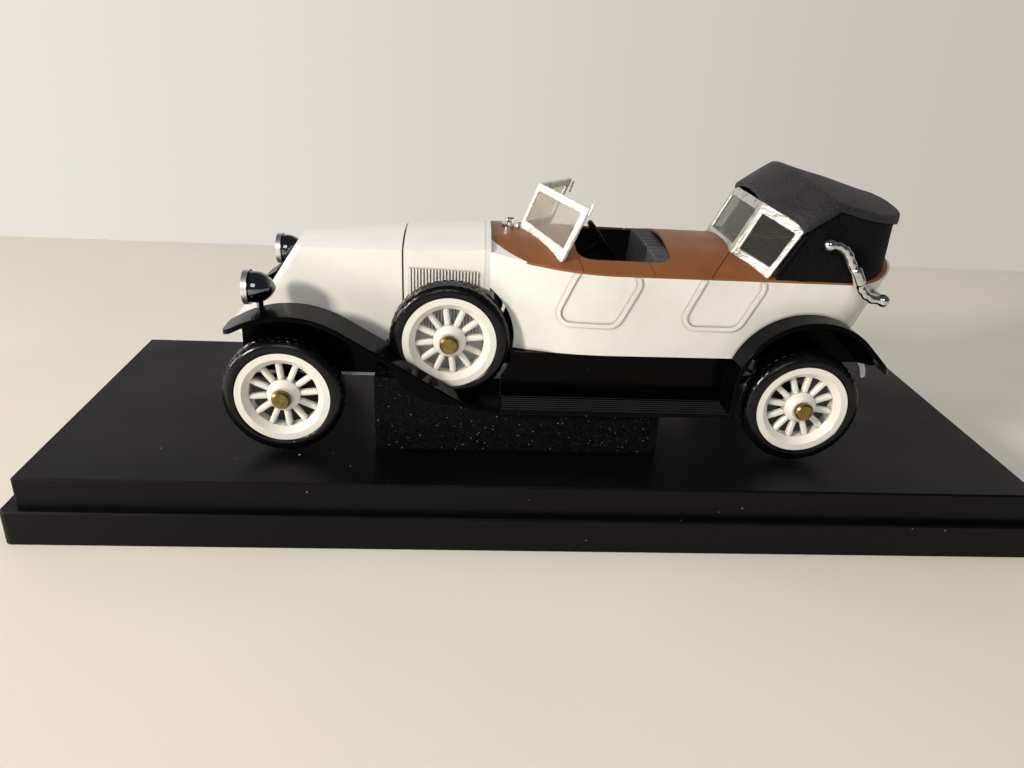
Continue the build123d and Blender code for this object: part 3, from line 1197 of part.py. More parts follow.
with BuildPart() as nose_plate:
    slope = Vector(NOSE_KNEE[0] - NOSE_TOP[0], 0, NOSE_KNEE[1] - NOSE_TOP[1])
    share = (NOSE_TOP[1] - PLATE_Z) / (NOSE_TOP[1] - NOSE_KNEE[1])
    centre = Vector(NOSE_TOP[0], 0, NOSE_TOP[1]) + slope * share
    with BuildSketch(Plane(origin=centre, x_dir=(0, 1, 0), z_dir=Vector(0, 1, 0).cross(slope) * -1)):
        RectangleRounded(PLATE_WIDTH, PLATE_HEIGHT, PLATE_THICKNESS)
    extrude(amount=PLATE_THICKNESS)
write(nose_plate.part, "nose_plate")
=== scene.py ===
from math import atan2, cos, pi, radians, sin, tau

import bmesh
import bpy
from mathutils import Matrix, Vector, noise


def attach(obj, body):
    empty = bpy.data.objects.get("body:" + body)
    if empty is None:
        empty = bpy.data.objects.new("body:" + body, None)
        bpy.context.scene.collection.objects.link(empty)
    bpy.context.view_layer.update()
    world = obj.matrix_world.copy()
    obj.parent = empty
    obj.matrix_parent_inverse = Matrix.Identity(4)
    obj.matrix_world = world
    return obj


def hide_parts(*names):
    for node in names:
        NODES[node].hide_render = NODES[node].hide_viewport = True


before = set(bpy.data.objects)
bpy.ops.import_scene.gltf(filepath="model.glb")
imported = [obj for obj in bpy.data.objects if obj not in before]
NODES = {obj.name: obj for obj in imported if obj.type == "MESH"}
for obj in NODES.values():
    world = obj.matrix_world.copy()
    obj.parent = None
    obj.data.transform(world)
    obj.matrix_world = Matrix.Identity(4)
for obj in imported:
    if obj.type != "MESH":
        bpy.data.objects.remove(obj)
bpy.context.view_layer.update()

MM = 0.001
# The car's own origin: midway between the axles, on the centreline, as high as the wheel centres
CAR = Vector((-0.55, 2.5, 22.9)) * MM
WHEELBASE = 92.0 * MM
TYRE_CENTRE_Y = 16.9 * MM
SPARE_CENTRE = Vector((17.4, 13.5, 9.6)) * MM
# Each road wheel's end of the car and side: 1 is the front and the left
CORNERS = {"front_left": (1, 1), "front_right": (1, -1),
           "rear_left": (-1, 1), "rear_right": (-1, -1)}

FIXED_BODY = "car_on_plinth"
MERGE = 0.001 * MM     # points nearer than this become one
SHARP = radians(30)    # faces at more than this have an edge between them


# Materials

def colour(hex_code):
    """sRGB hex to the linear colour that Blender's sockets take."""
    channels = [int(hex_code[i:i + 2], 16) / 255 for i in (1, 3, 5)]
    linear = [c / 12.92 if c <= 0.04045 else ((c + 0.055) / 1.055) ** 2.4 for c in channels]
    return (*linear, 1.0)


def set_up(tree, target, settings):
    """Sets a node's properties (lower-case keys) and inputs: a value, a hex colour or a socket."""
    for key, value in settings.items():
        if isinstance(key, str) and key.islower():
            setattr(target, key, value)
        elif isinstance(value, bpy.types.NodeSocket):
            tree.links.new(value, target.inputs[key])
        else:
            target.inputs[key].default_value = colour(value) if isinstance(value, str) else value


def node(tree, kind, settings):
    """Adds a node with its settings and links, and returns its outputs."""
    new = tree.nodes.new(kind)
    set_up(tree, new, settings)
    return new.outputs


def new_material(name):
    """A fresh material, with its tree, its Principled shader and Object coordinates."""
    material = bpy.data.materials.new(name)
    material.use_nodes = True
    tree = material.node_tree
    coords = node(tree, "ShaderNodeTexCoord", {})["Object"]
    return material, tree, tree.nodes["Principled BSDF"], coords


def per_mm(period):
    """Texture scale, per metre, of a pattern that repeats every period millimetres."""
    return 1.0 / (period * MM)


def mottled(tree, pattern, low, high, first, second):
    """Colour that goes from first to second as the pattern rises from low to high."""
    rise = node(tree, "ShaderNodeMapRange",
                {"Value": pattern, "From Min": low, "From Max": high})["Result"]
    return node(tree, "ShaderNodeMix", {"data_type": "RGBA", 0: rise, 6: first, 7: second})[2]


def specks(tree, coords, spacing_mm, size, seed):
    """Factor that is 1 in scattered round specks: about one cell in four holds one."""
    shifted = node(tree, "ShaderNodeMapping",
                   {"Location": (seed, seed * 0.7, 0), "Vector": coords})[0]
    cells = node(tree, "ShaderNodeTexVoronoi", {"Scale": per_mm(spacing_mm), "Vector": shifted})
    near = node(tree, "ShaderNodeMapRange",
                {"Value": cells["Distance"], "From Min": size, "From Max": size * 0.6})["Result"]
    draw = node(tree, "ShaderNodeSeparateColor", {"Color": cells["Color"]})[0]
    chosen = node(tree, "ShaderNodeMapRange",
                  {"Value": draw, "From Min": 0.72, "From Max": 0.74})["Result"]
    return node(tree, "ShaderNodeMath", {"operation": "MULTIPLY", 0: near, 1: chosen})[0]


def gloss_white_styrene(name, base, shade, roughness):
    """Polished injection-moulded styrene: a cool gloss white under a thin clear skin, with faint
    clouding, a few specks of dust and slight ripples. Its crevices get painted shade: a little
    darker."""
    material, tree, shader, coords = new_material(name)
    cloud = node(tree, "ShaderNodeTexNoise",
                 {"Scale": per_mm(9), "Detail": 4.0, "Vector": coords})[0]
    clouded = mottled(tree, cloud, 0.3, 0.75, base, shade)
    dust = specks(tree, coords, spacing_mm=8.0, size=0.025, seed=3.1)
    dusty = node(tree, "ShaderNodeMix",
                 {"data_type": "RGBA", 0: dust, 6: clouded, 7: "#8d8a84"})[2]
    # Painted shade: an occlusion mask darkens the colour in crevices, beads and louvres.
    painted_crevice_shade = node(tree, "ShaderNodeAmbientOcclusion", {"Distance": 0.7 * MM})["AO"]
    ripple = node(tree, "ShaderNodeTexNoise",
                  {"Scale": per_mm(2.2), "Detail": 2.0, "Vector": coords})[0]
    relief = node(tree, "ShaderNodeBump",
                  {"Strength": 0.10, "Distance": 0.12 * MM, "Height": ripple})["Normal"]
    set_up(tree, shader, {
        "Base Color": mottled(tree, painted_crevice_shade, 0.35, 0.95, "#94918a", dusty),
        "Roughness": roughness, "IOR": 1.5, "Coat Weight": 0.35, "Coat Roughness": 0.06,
        "Normal": relief})
    return material


def satin_tan_enamel():
    """Brushed tan enamel: satin, with darker and duller patches and a fine stipple."""
    material, tree, shader, coords = new_material("satin_tan_enamel")
    patch = node(tree, "ShaderNodeTexNoise",
                 {"Scale": per_mm(6), "Detail": 5.0, "Vector": coords})[0]
    dullness = node(tree, "ShaderNodeMapRange",
                    {"Value": patch, "From Min": -0.9, "From Max": 1.8})["Result"]
    stipple = node(tree, "ShaderNodeTexNoise",
                   {"Scale": per_mm(0.5), "Detail": 2.0, "Vector": coords})[0]
    relief = node(tree, "ShaderNodeBump",
                  {"Strength": 0.18, "Distance": 0.05 * MM, "Height": stipple})["Normal"]
    set_up(tree, shader, {
        "Base Color": mottled(tree, patch, 0.3, 0.7, "#8b552d", "#7b4922"),
        "Roughness": dullness, "IOR": 1.5, "Coat Weight": 0.2, "Coat Roughness": 0.3,
        "Normal": relief})
    return material


def black_styrene(name, base, dust, roughness, level, grain_mm, grain, dust_mm):
    """Moulded black styrene: nearly black, its gloss broken by fine grain, with pale dust lying on
    it. Edges that carry the rubbed attribute are painted greyer: a painted highlight, partly rubbed
    wear."""
    material, tree, shader, coords = new_material(name)
    lying = specks(tree, coords, spacing_mm=dust_mm, size=0.03, seed=1.7)
    dusty = node(tree, "ShaderNodeMix", {"data_type": "RGBA", 0: lying, 6: base, 7: dust})[2]
    # Painted highlight: faces marked rubbed are painted grey, partly standing for rubbed wear.
    rubbed = node(tree, "ShaderNodeAttribute", {"attribute_name": "rubbed"})["Fac"]
    dusty_with_painted_edge_highlight = node(tree, "ShaderNodeMix",
                {"data_type": "RGBA", 0: rubbed, 6: dusty, 7: "#2b2c2f"})[2]
    fine = node(tree, "ShaderNodeTexNoise",
                {"Scale": per_mm(grain_mm), "Detail": 3.0, "Vector": coords})[0]
    relief = node(tree, "ShaderNodeBump",
                  {"Strength": grain, "Distance": 0.06 * MM, "Height": fine})["Normal"]
    handled = node(tree, "ShaderNodeTexNoise",
                   {"Scale": per_mm(14), "Detail": 6.0, "Vector": coords})[0]
    gloss = node(tree, "ShaderNodeMapRange",
                 {"Value": handled, "From Min": 0.3, "From Max": 0.7,
                  "To Min": roughness * 0.75, "To Max": roughness * 1.35})["Result"]
    set_up(tree, shader, {"Base Color": dusty_with_painted_edge_highlight, "Roughness": gloss, "IOR": 1.45,
                          "Specular IOR Level": level, "Normal": relief})
    return material


def scratched_black_plinth():
    """Satin black styrene of the plinth: faint long scratches, haze and scattered white dust."""
    material, tree, shader, coords = new_material("satin_black_styrene_plinth")
    dust = specks(tree, coords, spacing_mm=3.4, size=0.035, seed=1.7)
    crumbs = specks(tree, coords, spacing_mm=13.0, size=0.02, seed=4.4)
    lying = node(tree, "ShaderNodeMath", {"operation": "MAXIMUM", 0: dust, 1: crumbs})[0]
    dusty = node(tree, "ShaderNodeMix",
                 {"data_type": "RGBA", 0: lying, 6: "#040506", 7: "#c9c6c0"})[2]
    drawn_out = node(tree, "ShaderNodeMapping",
                     {"Rotation": (0, 0, 0.35), "Scale": (0.05, 1.0, 1.0), "Vector": coords})[0]
    lines = node(tree, "ShaderNodeTexNoise",
                 {"Scale": per_mm(0.7), "Detail": 2.0, "Vector": drawn_out})[0]
    scratches = node(tree, "ShaderNodeMapRange",
                     {"Value": lines, "From Min": 0.62, "From Max": 0.70})["Result"]
    relief = node(tree, "ShaderNodeBump",
                  {"Strength": 0.08, "Distance": 0.03 * MM, "Height": scratches})["Normal"]
    haze = node(tree, "ShaderNodeTexNoise",
                {"Scale": per_mm(30), "Detail": 6.0, "Vector": coords})[0]
    gloss = node(tree, "ShaderNodeMapRange",
                 {"Value": haze, "From Min": 0.3, "From Max": 0.7,
                  "To Min": 0.36, "To Max": 0.5})["Result"]
    set_up(tree, shader, {"Base Color": dusty, "Roughness": gloss, "IOR": 1.5,
                          "Specular IOR Level": 0.16, "Normal": relief})
    return material


def bright_plating(name, base, dull, metallic, roughness, wrinkle_mm, wrinkle):
    """Plated or foiled metal: a bright mirror whose surface wanders a little, with dull stains."""
    material, tree, shader, coords = new_material(name)
    waves = node(tree, "ShaderNodeTexNoise",
                 {"Scale": per_mm(wrinkle_mm), "Detail": 3.0, "Vector": coords})[0]
    relief = node(tree, "ShaderNodeBump",
                  {"Strength": wrinkle, "Distance": 0.15 * MM, "Height": waves})["Normal"]
    stain = node(tree, "ShaderNodeTexNoise",
                 {"Scale": per_mm(1.6), "Detail": 5.0, "Vector": coords})[0]
    set_up(tree, shader, {"Base Color": mottled(tree, stain, 0.5, 0.8, base, dull),
                          "Metallic": metallic, "Roughness": roughness, "Normal": relief})
    return material


LAMP_RIM, LAMP_RIM_BLUR = 0.9 * MM, 0.1 * MM


def plated_lamp_shells():
    """Plated headlamp shells: a bowl plated dark as painted dark reflection, and a frosted rim
    round the lens painted bright as a painted highlight.
    """
    material, tree, shader, coords = new_material("chrome_plated_lamp_shells")
    front = max(corner[0] for corner in NODES["headlamps"].bound_box)
    along = node(tree, "ShaderNodeSeparateXYZ", {"Vector": coords})["X"]
    rim = node(tree, "ShaderNodeMapRange",
               {"Value": along, "From Min": front - LAMP_RIM - LAMP_RIM_BLUR,
                "From Max": front - LAMP_RIM})["Result"]
    # Painted reflection: the bowl's plating is painted dark grey and the rim band near white.
    plating_with_painted_reflection = node(tree, "ShaderNodeMix",
                   {"data_type": "RGBA", 0: rim, 6: "#74777c", 7: "#f2f3f4"})[2]
    frosting = node(tree, "ShaderNodeMapRange",
                    {"Value": rim, "To Min": 0.07, "To Max": 0.38})["Result"]
    waves = node(tree, "ShaderNodeTexNoise",
                 {"Scale": per_mm(1.8), "Detail": 3.0, "Vector": coords})[0]
    relief = node(tree, "ShaderNodeBump",
                  {"Strength": 0.2, "Distance": 0.15 * MM, "Height": waves})["Normal"]
    set_up(tree, shader, {"Base Color": plating_with_painted_reflection, "Metallic": 1.0, "Roughness": frosting,
                          "Normal": relief})
    return material


def clear_styrene(name, tint, clarity, roughness, smudge):
    """Clear moulded styrene glazing: see-through, slightly grey, hazy where it was handled."""
    material, tree, shader, coords = new_material(name)
    prints = node(tree, "ShaderNodeTexNoise",
                  {"Scale": per_mm(3), "Detail": 5.0, "Roughness": 0.65, "Vector": coords})[0]
    haze = node(tree, "ShaderNodeMapRange",
                {"Value": prints, "From Min": 0.45, "From Max": 0.75,
                 "To Min": roughness, "To Max": smudge})["Result"]
    set_up(tree, shader, {"Base Color": tint, "Transmission Weight": clarity, "IOR": 1.2,
                          "Roughness": haze})
    return material


def hood_leathercloth(name, base, rubbed, sheen, level):
    """Black styrene moulded as rubberised hood cloth: matt, rubbed grey in places, with a pebbled
    grain that is drawn coarse enough to show."""
    material, tree, shader, coords = new_material(name)
    wear = node(tree, "ShaderNodeTexNoise",
                {"Scale": per_mm(5), "Detail": 6.0, "Vector": coords})[0]
    pebbles = node(tree, "ShaderNodeTexVoronoi",
                   {"Scale": per_mm(0.55), "feature": "SMOOTH_F1", "Vector": coords})["Distance"]
    fine = node(tree, "ShaderNodeTexNoise",
                {"Scale": per_mm(0.3), "Detail": 3.0, "Vector": coords})[0]
    grain = node(tree, "ShaderNodeMath", {"operation": "ADD", 0: pebbles, 1: fine})[0]
    relief = node(tree, "ShaderNodeBump",
                  {"Strength": 0.9, "Distance": 0.22 * MM, "Height": grain})["Normal"]
    set_up(tree, shader, {
        "Base Color": mottled(tree, wear, 0.35, 0.75, base, rubbed),
        "Roughness": 0.7, "IOR": 1.45, "Specular IOR Level": level,
        "Sheen Weight": sheen, "Sheen Roughness": 0.5, "Sheen Tint": "#8e9094",
        "Normal": relief})
    return material


def glittering_foam():
    """Craft foam with a glitter skin: fine dark grey flakes, of which a rare one is painted pale
    grey as a painted glint.
    """
    material, tree, shader, coords = new_material("black_glitter_foam")
    flakes = node(tree, "ShaderNodeTexVoronoi", {"Scale": per_mm(0.28), "Vector": coords})
    draw = node(tree, "ShaderNodeSeparateColor", {"Color": flakes["Color"]})
    near = node(tree, "ShaderNodeMapRange",
                {"Value": flakes["Distance"], "From Min": 0.38, "From Max": 0.24})["Result"]
    chosen = node(tree, "ShaderNodeMapRange",
                  {"Value": draw[0], "From Min": 0.965, "From Max": 0.995})["Result"]
    # Painted glint: rare flakes painted pale grey stand for glitter catching the light.
    painted_glint = node(tree, "ShaderNodeMath", {"operation": "MULTIPLY", 0: near, 1: chosen})[0]
    dull = mottled(tree, draw[1], 0.25, 1.0, "#020203", "#151618")
    flakes_with_painted_glints = node(tree, "ShaderNodeMix", {"data_type": "RGBA", 0: painted_glint, 6: dull, 7: "#a9aaad"})[2]
    relief = node(tree, "ShaderNodeBump",
                  {"Strength": 0.5, "Distance": 0.10 * MM, "Height": flakes["Distance"]})["Normal"]
    set_up(tree, shader, {"Base Color": flakes_with_painted_glints, "Roughness": 0.6, "Specular IOR Level": 0.08,
                          "Normal": relief})
    return material


def tyre_vinyl():
    """Soft moulded vinyl: glossy and nearly black, with small nicks and a film of grey dust."""
    material, tree, shader, coords = new_material("black_vinyl_tyre")
    film = node(tree, "ShaderNodeTexNoise",
                {"Scale": per_mm(2.5), "Detail": 6.0, "Vector": coords})[0]
    nicks = specks(tree, coords, spacing_mm=1.3, size=0.3, seed=5.0)
    uneven = node(tree, "ShaderNodeMath", {"operation": "ADD", 0: nicks, 1: film})[0]
    relief = node(tree, "ShaderNodeBump",
                  {"Strength": 0.6, "Distance": 0.12 * MM, "Height": uneven})["Normal"]
    set_up(tree, shader, {
        "Base Color": mottled(tree, film, 0.5, 0.85, "#060709", "#131416"),
        "Roughness": 0.22, "IOR": 1.5, "Specular IOR Level": 0.28, "Normal": relief})
    return material


def turned_brass():
    """Turned brass: warm yellow metal, browned in patches, with slight dents."""
    material, tree, shader, coords = new_material("turned_brass")
    stain = node(tree, "ShaderNodeTexNoise",
                 {"Scale": per_mm(1.1), "Detail": 4.0, "Vector": coords})[0]
    relief = node(tree, "ShaderNodeBump",
                  {"Strength": 0.2, "Distance": 0.05 * MM, "Height": stain})["Normal"]
    set_up(tree, shader, {"Base Color": mottled(tree, stain, 0.4, 0.75, "#96804f", "#64502d"),
                          "Metallic": 1.0, "Roughness": 0.30, "Normal": relief})
    return material


def pressed_lens():
    """Pressed clear plastic: upright flutes that break up the bright bowl behind them."""
    material, tree, shader, coords = new_material("pressed_clear_lens")
    flutes = node(tree, "ShaderNodeTexWave",
                  {"Scale": per_mm(2.2), "bands_direction": "Y", "Vector": coords})["Fac"]
    relief = node(tree, "ShaderNodeBump",
                  {"Strength": 0.5, "Distance": 0.15 * MM, "Height": flutes})["Normal"]
    set_up(tree, shader, {"Base Color": "#eef3f5", "Transmission Weight": 0.9, "IOR": 1.35,
                          "Roughness": 0.06, "Normal": relief})
    return material


WHITE = gloss_white_styrene("gloss_white_styrene", base="#eeefee", shade="#e4e5e3",
                            roughness=0.16)
WHEEL_WHITE = gloss_white_styrene("wheel_white_styrene", base="#f1f1ee", shade="#e6e5df",
                                  roughness=0.22)
TAN = satin_tan_enamel()
GUARD_BLACK = black_styrene("gloss_black_styrene_guards", base="#030405", dust="#5d5d60",
                            roughness=0.17, level=0.05, grain_mm=1.4, grain=0.10, dust_mm=2.6)
BOARD_BLACK = black_styrene("ribbed_black_styrene_boards", base="#020203", dust="#5d5d60",
                            roughness=0.2, level=0.08, grain_mm=1.4, grain=0.06, dust_mm=2.6)
CHASSIS_BLACK = black_styrene("satin_black_styrene_chassis", base="#040506", dust="#6f7073",
                              roughness=0.36, level=0.12, grain_mm=0.8, grain=0.16, dust_mm=4.2)
LINING_BLACK = black_styrene("satin_black_styrene_lining", base="#0d0e11", dust="#6f7073",
                             roughness=0.42, level=0.2, grain_mm=0.8, grain=0.16, dust_mm=4.2)
SEAT_BLACK = black_styrene("moulded_pleated_upholstery", base="#43464c", dust="#8c8d92",
                           roughness=0.42, level=0.5, grain_mm=0.5, grain=0.30, dust_mm=5.0)
PLINTH = scratched_black_plinth()
FOAM = glittering_foam()
HOOD = hood_leathercloth("black_grained_hood_cloth", base="#17181a", rubbed="#26272a",
                         sheen=0.22, level=0.42)
# The curtain is the hood cloth made darker and less glossy: partly its own smoother cloth, partly
# painted shade on the hood's sides and back.
CURTAIN = hood_leathercloth("shaded_side_curtain_cloth", base="#050609", rubbed="#0f1014",
                            sheen=0.04, level=0.14)
LAMP_CHROME = plated_lamp_shells()
CHROME = bright_plating("chrome_plated_styrene", base="#dfe1e4", dull="#b4b7bb",
                        metallic=1.0, roughness=0.09, wrinkle_mm=1.8, wrinkle=0.25)
SILVER = bright_plating("silver_foil_windscreen_frame", base="#f3f3f1", dull="#a3a5a8",
                        metallic=0.3, roughness=0.42, wrinkle_mm=0.45, wrinkle=0.25)
CREASED_FOIL = bright_plating("creased_foil_rear_screen_frame", base="#c6c6c5", dull="#5f6164",
                              metallic=0.85, roughness=0.34, wrinkle_mm=0.4, wrinkle=0.8)
BRASS = turned_brass()
GLAZING = clear_styrene("clear_styrene_glazing", tint="#d4d6d4", clarity=0.97,
                        roughness=0.03, smudge=0.26)
MILKY_GLAZING = clear_styrene("milky_styrene_windscreen", tint="#e4e1d8", clarity=0.87,
                              roughness=0.05, smudge=0.26)
LENS = pressed_lens()
TYRE = tyre_vinyl()

FINISHES = {
    "plinth": PLINTH, "pad": FOAM,
    "chassis_frame": WHITE, "bonnet": WHITE, "body_shell": WHITE, "deck": TAN,
    "front_axle": CHASSIS_BLACK, "rear_axle": CHASSIS_BLACK,
    "front_springs": CHASSIS_BLACK, "rear_springs": CHASSIS_BLACK, "cabin_floor": CHASSIS_BLACK,
    "cabin_lining": LINING_BLACK, "dashboard": LINING_BLACK,
    "front_seat": SEAT_BLACK, "rear_seat": SEAT_BLACK,
    "steering_wheel": GUARD_BLACK, "steering_column": GUARD_BLACK,
    "windscreen_frame": SILVER, "windscreen_glass": MILKY_GLAZING,
    "rear_screen_frame": CREASED_FOIL, "rear_screen_glass": GLAZING,
    "hood_top": HOOD, "hood_curtain": CURTAIN, "landau_irons": CHROME, "cowl_cap": CHROME,
    "headlamps": LAMP_CHROME, "headlamp_lenses": LENS,
    "front_mudguards": GUARD_BLACK, "rear_mudguards": GUARD_BLACK, "nose_plate": GUARD_BLACK,
    "running_boards": BOARD_BLACK,
    "spare_tyres": TYRE, "spare_wheels": WHEEL_WHITE, "spare_hub_caps": BRASS,
}
for corner in CORNERS:
    FINISHES["tyre_" + corner] = TYRE
    FINISHES["wheel_" + corner] = WHEEL_WHITE
    FINISHES["hub_cap_" + corner] = BRASS
for name, finish in FINISHES.items():
    for slot in NODES[name].material_slots:
        slot.material = finish


# Ways to make a piece

def finished(mesh, name, material, body, replaced):
    """Turns a mesh, already in its place, into a piece of the object."""
    bmesh.ops.remove_doubles(mesh, verts=mesh.verts, dist=MERGE)
    bmesh.ops.recalc_face_normals(mesh, faces=mesh.faces)
    data = bpy.data.meshes.new(name)
    mesh.to_mesh(data)
    mesh.free()
    data.materials.append(material)
    piece = bpy.data.objects.new(name, data)
    bpy.context.collection.objects.link(piece)
    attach(piece, body)
    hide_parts(replaced)
    return piece


def sharp_edges(mesh):
    """Edges whose two faces meet at a clear angle."""
    return [e for e in mesh.edges if len(e.link_faces) == 2 and e.calc_face_angle() > SHARP]


def even_surface(source, voxel, rounds):
    """A node's shape as one surface of small even faces, eased by some rounds of smoothing."""
    merged = bmesh.new()
    merged.from_mesh(NODES[source].data)
    bmesh.ops.remove_doubles(merged, verts=merged.verts, dist=MERGE)
    data = bpy.data.meshes.new("merged_source")
    merged.to_mesh(data)
    merged.free()
    holder = bpy.data.objects.new("merged_source", data)
    bpy.context.collection.objects.link(holder)
    even = holder.modifiers.new("even", "REMESH")
    even.mode = "VOXEL"
    even.voxel_size = voxel * MM
    bpy.context.view_layer.update()
    mesh = bmesh.new()
    mesh.from_object(holder, bpy.context.evaluated_depsgraph_get())
    bpy.data.objects.remove(holder)
    bpy.data.meshes.remove(data)
    for _ in range(rounds):
        bmesh.ops.smooth_vert(mesh, verts=mesh.verts, factor=0.5,
                              use_axis_x=True, use_axis_y=True, use_axis_z=True)
    for face in mesh.faces:
        face.smooth = True
    mesh.normal_update()
    return mesh


def pushed(mesh, distance):
    """Moves points along their normals by distance(point, normal): the car's own frame, in mm."""
    moves = [vert.normal * distance((vert.co - CAR) / MM, vert.normal) * MM for vert in mesh.verts]
    for vert, move in zip(mesh.verts, moves):
        vert.co += move
    mesh.normal_update()


def unevenness(point, period, depth):
    """Smooth irregular height, in mm, that wanders over about a period."""
    return depth * noise.noise(point / period)


def piping(mesh, start, end, radius):
    """Round piping with domed ends between two points of the car's own frame, in mm."""
    start, end = CAR + Vector(start) * MM, CAR + Vector(end) * MM
    turn = (end - start).to_track_quat("Z", "Y").to_matrix().to_4x4()
    place = Matrix.Translation((start + end) / 2) @ turn
    bmesh.ops.create_cone(mesh, cap_ends=False, segments=12, radius1=radius * MM,
                          radius2=radius * MM, depth=(end - start).length, matrix=place)
    for tip in (start, end):
        bmesh.ops.create_uvsphere(mesh, u_segments=12, v_segments=8, radius=radius * MM,
                                  matrix=Matrix.Translation(tip) @ turn)


# Tyres. Their section is offset from the tyre's middle, and radius, in mm

TYRE_SECTION = [(-2.05, 8.2), (-2.26, 8.6), (-2.3, 9.1), (-2.2, 9.6), (-1.96, 10.02), (-1.62, 10.3),
                (-0.95, 10.44), (-0.5, 10.48), (0.5, 10.48), (0.95, 10.44), (1.62, 10.3),
                (1.96, 10.02), (2.2, 9.6), (2.3, 9.1), (2.26, 8.6), (2.05, 8.2)]
TREAD_RADIUS = 10.2 * MM
SHOULDER_FROM, SHOULDER_TO = 0.9 * MM, 1.7 * MM
CENTRE_HALF = 0.4 * MM
LUGS = 46
LUG_HEIGHT, LUG_INSET = 0.08 * MM, 0.07 * MM


def add_tyre(mesh, centre):
    """Spun tyre with two rows of shoulder lugs, and centre lugs standing between them."""
    ring = bmesh.new()
    profile = [ring.verts.new((0.0, offset * MM, radius * MM)) for offset, radius in TYRE_SECTION]
    edges = [ring.edges.new(pair) for pair in zip(profile, profile[1:] + profile[:1])]
    bmesh.ops.spin(ring, geom=profile + edges, cent=(0, 0, 0), axis=(0, 1, 0), angle=tau,
                   steps=2 * LUGS, use_merge=True)
    bmesh.ops.remove_doubles(ring, verts=ring.verts, dist=MERGE)
    bmesh.ops.recalc_face_normals(ring, faces=ring.faces)
    lugs = []
    for face in ring.faces:
        middle = face.calc_center_median()
        offset = abs(middle.y)
        odd = int((atan2(middle.z, middle.x) + pi) / pi * LUGS) % 2
        if middle.xz.length < TREAD_RADIUS:
            face.smooth = True
        elif (odd and SHOULDER_FROM < offset < SHOULDER_TO) or (not odd and offset < CENTRE_HALF):
            lugs.append(face)
    bmesh.ops.inset_individual(ring, faces=lugs, thickness=LUG_INSET, depth=LUG_HEIGHT)
    bmesh.ops.translate(ring, verts=ring.verts, vec=centre)
    part = bpy.data.meshes.new("tyre_ring")
    ring.to_mesh(part)
    ring.free()
    mesh.from_mesh(part)
    bpy.data.meshes.remove(part)


for corner, (end, side) in CORNERS.items():
    tyre = bmesh.new()
    add_tyre(tyre, CAR + Vector((end * WHEELBASE / 2, side * TYRE_CENTRE_Y, 0)))
    finished(tyre, "treaded_tyre_" + corner, TYRE, "rolling_" + corner,
             "tyre_" + corner)
spares = bmesh.new()
for side in (1, -1):
    add_tyre(spares, CAR + Vector((SPARE_CENTRE.x, side * SPARE_CENTRE.y, SPARE_CENTRE.z)))
finished(spares, "treaded_spare_tyres", TYRE, FIXED_BODY, "spare_tyres")


# Soft pieces

CRUSHED_EDGE = 0.35 * MM


def crushed_foam_pad():
    """The block of foam, its cut edges rounded by handling."""
    mesh = bmesh.new()
    mesh.from_mesh(NODES["pad"].data)
    bmesh.ops.remove_doubles(mesh, verts=mesh.verts, dist=MERGE)
    bmesh.ops.dissolve_limit(mesh, angle_limit=radians(4), verts=mesh.verts, edges=mesh.edges)
    bmesh.ops.bevel(mesh, geom=sharp_edges(mesh), offset=CRUSHED_EDGE, segments=3, profile=0.5,
                    affect="EDGES", material=-1, clamp_overlap=True)
    piece = finished(mesh, "foam_pad", FOAM, FIXED_BODY, "pad")


# The hood's cloth and bows, in mm. The binding starts BINDING_TUCK below the rear screen's top
# rail, and rises to an arch that falls with the square of the distance from the middle
CLOTH_GAIN, BOW_PITCH, BOW_SAG = 0.1, 11.5, 0.10
RAIL_Z = 34.66
BINDING_X, BINDING_HALF = -36.35, 7.2
BINDING_TUCK, BINDING_RISE, BINDING_FALL = 0.35, 0.9, 0.0217
BINDING_THICKNESS = 0.3 * MM


def hood_height(point, normal):
    """Thickness of the hood's cloth, its sag between the bows and its small wrinkles."""
    sag = -BOW_SAG * abs(cos(point.x / BOW_PITCH * pi)) if normal.z > 0.5 else 0.0
    folds = unevenness(point, period=5.0, depth=0.12) + unevenness(point, period=1.6, depth=0.03)
    return CLOTH_GAIN + sag + folds


def hood_roof():
    """The hood's roof, whose front binding closes the arch above the straight top rail."""
    roof = even_surface("hood_top", voxel=0.26, rounds=3)
    pushed(roof, hood_height)
    binding = bmesh.ops.create_grid(roof, x_segments=24, y_segments=2, size=1.0)["verts"]
    for vert in binding:
        y = BINDING_HALF * vert.co.x
        foot = RAIL_Z - BINDING_TUCK
        arch = RAIL_Z + BINDING_RISE - BINDING_FALL * y * y
        vert.co = CAR + Vector((BINDING_X, y, foot + (arch - foot) * (vert.co.y + 1) / 2)) * MM
    strip = list({face for vert in binding for face in vert.link_faces})
    bmesh.ops.solidify(roof, geom=strip, thickness=BINDING_THICKNESS)
    piece = finished(roof, "hood_roof_cloth", HOOD, FIXED_BODY, "hood_top")


# The hem on the curtain's front edge, on the left side, in the car's own frame, in mm
HEM_TOP, HEM_FOOT = (-41.6, 16.3, 30.6), (-38.0, 16.35, 24.2)
HEM_RADIUS = 0.32


def hood_curtain():
    """The hood's sides and back, slightly uneven, with a piped hem along each front edge."""
    curtain = even_surface("hood_curtain", voxel=0.2, rounds=2)
    pushed(curtain, lambda point, normal: unevenness(point, period=4.0, depth=0.08))
    for side in (1, -1):
        top, foot = [(x, side * y, z) for x, y, z in (HEM_TOP, HEM_FOOT)]
        piping(curtain, top, foot, HEM_RADIUS)
    piece = finished(curtain, "hood_curtain_cloth", CURTAIN, FIXED_BODY,
                     "hood_curtain")


PLEAT_ROLL, PLEAT_GROOVE = 0.30, 0.12


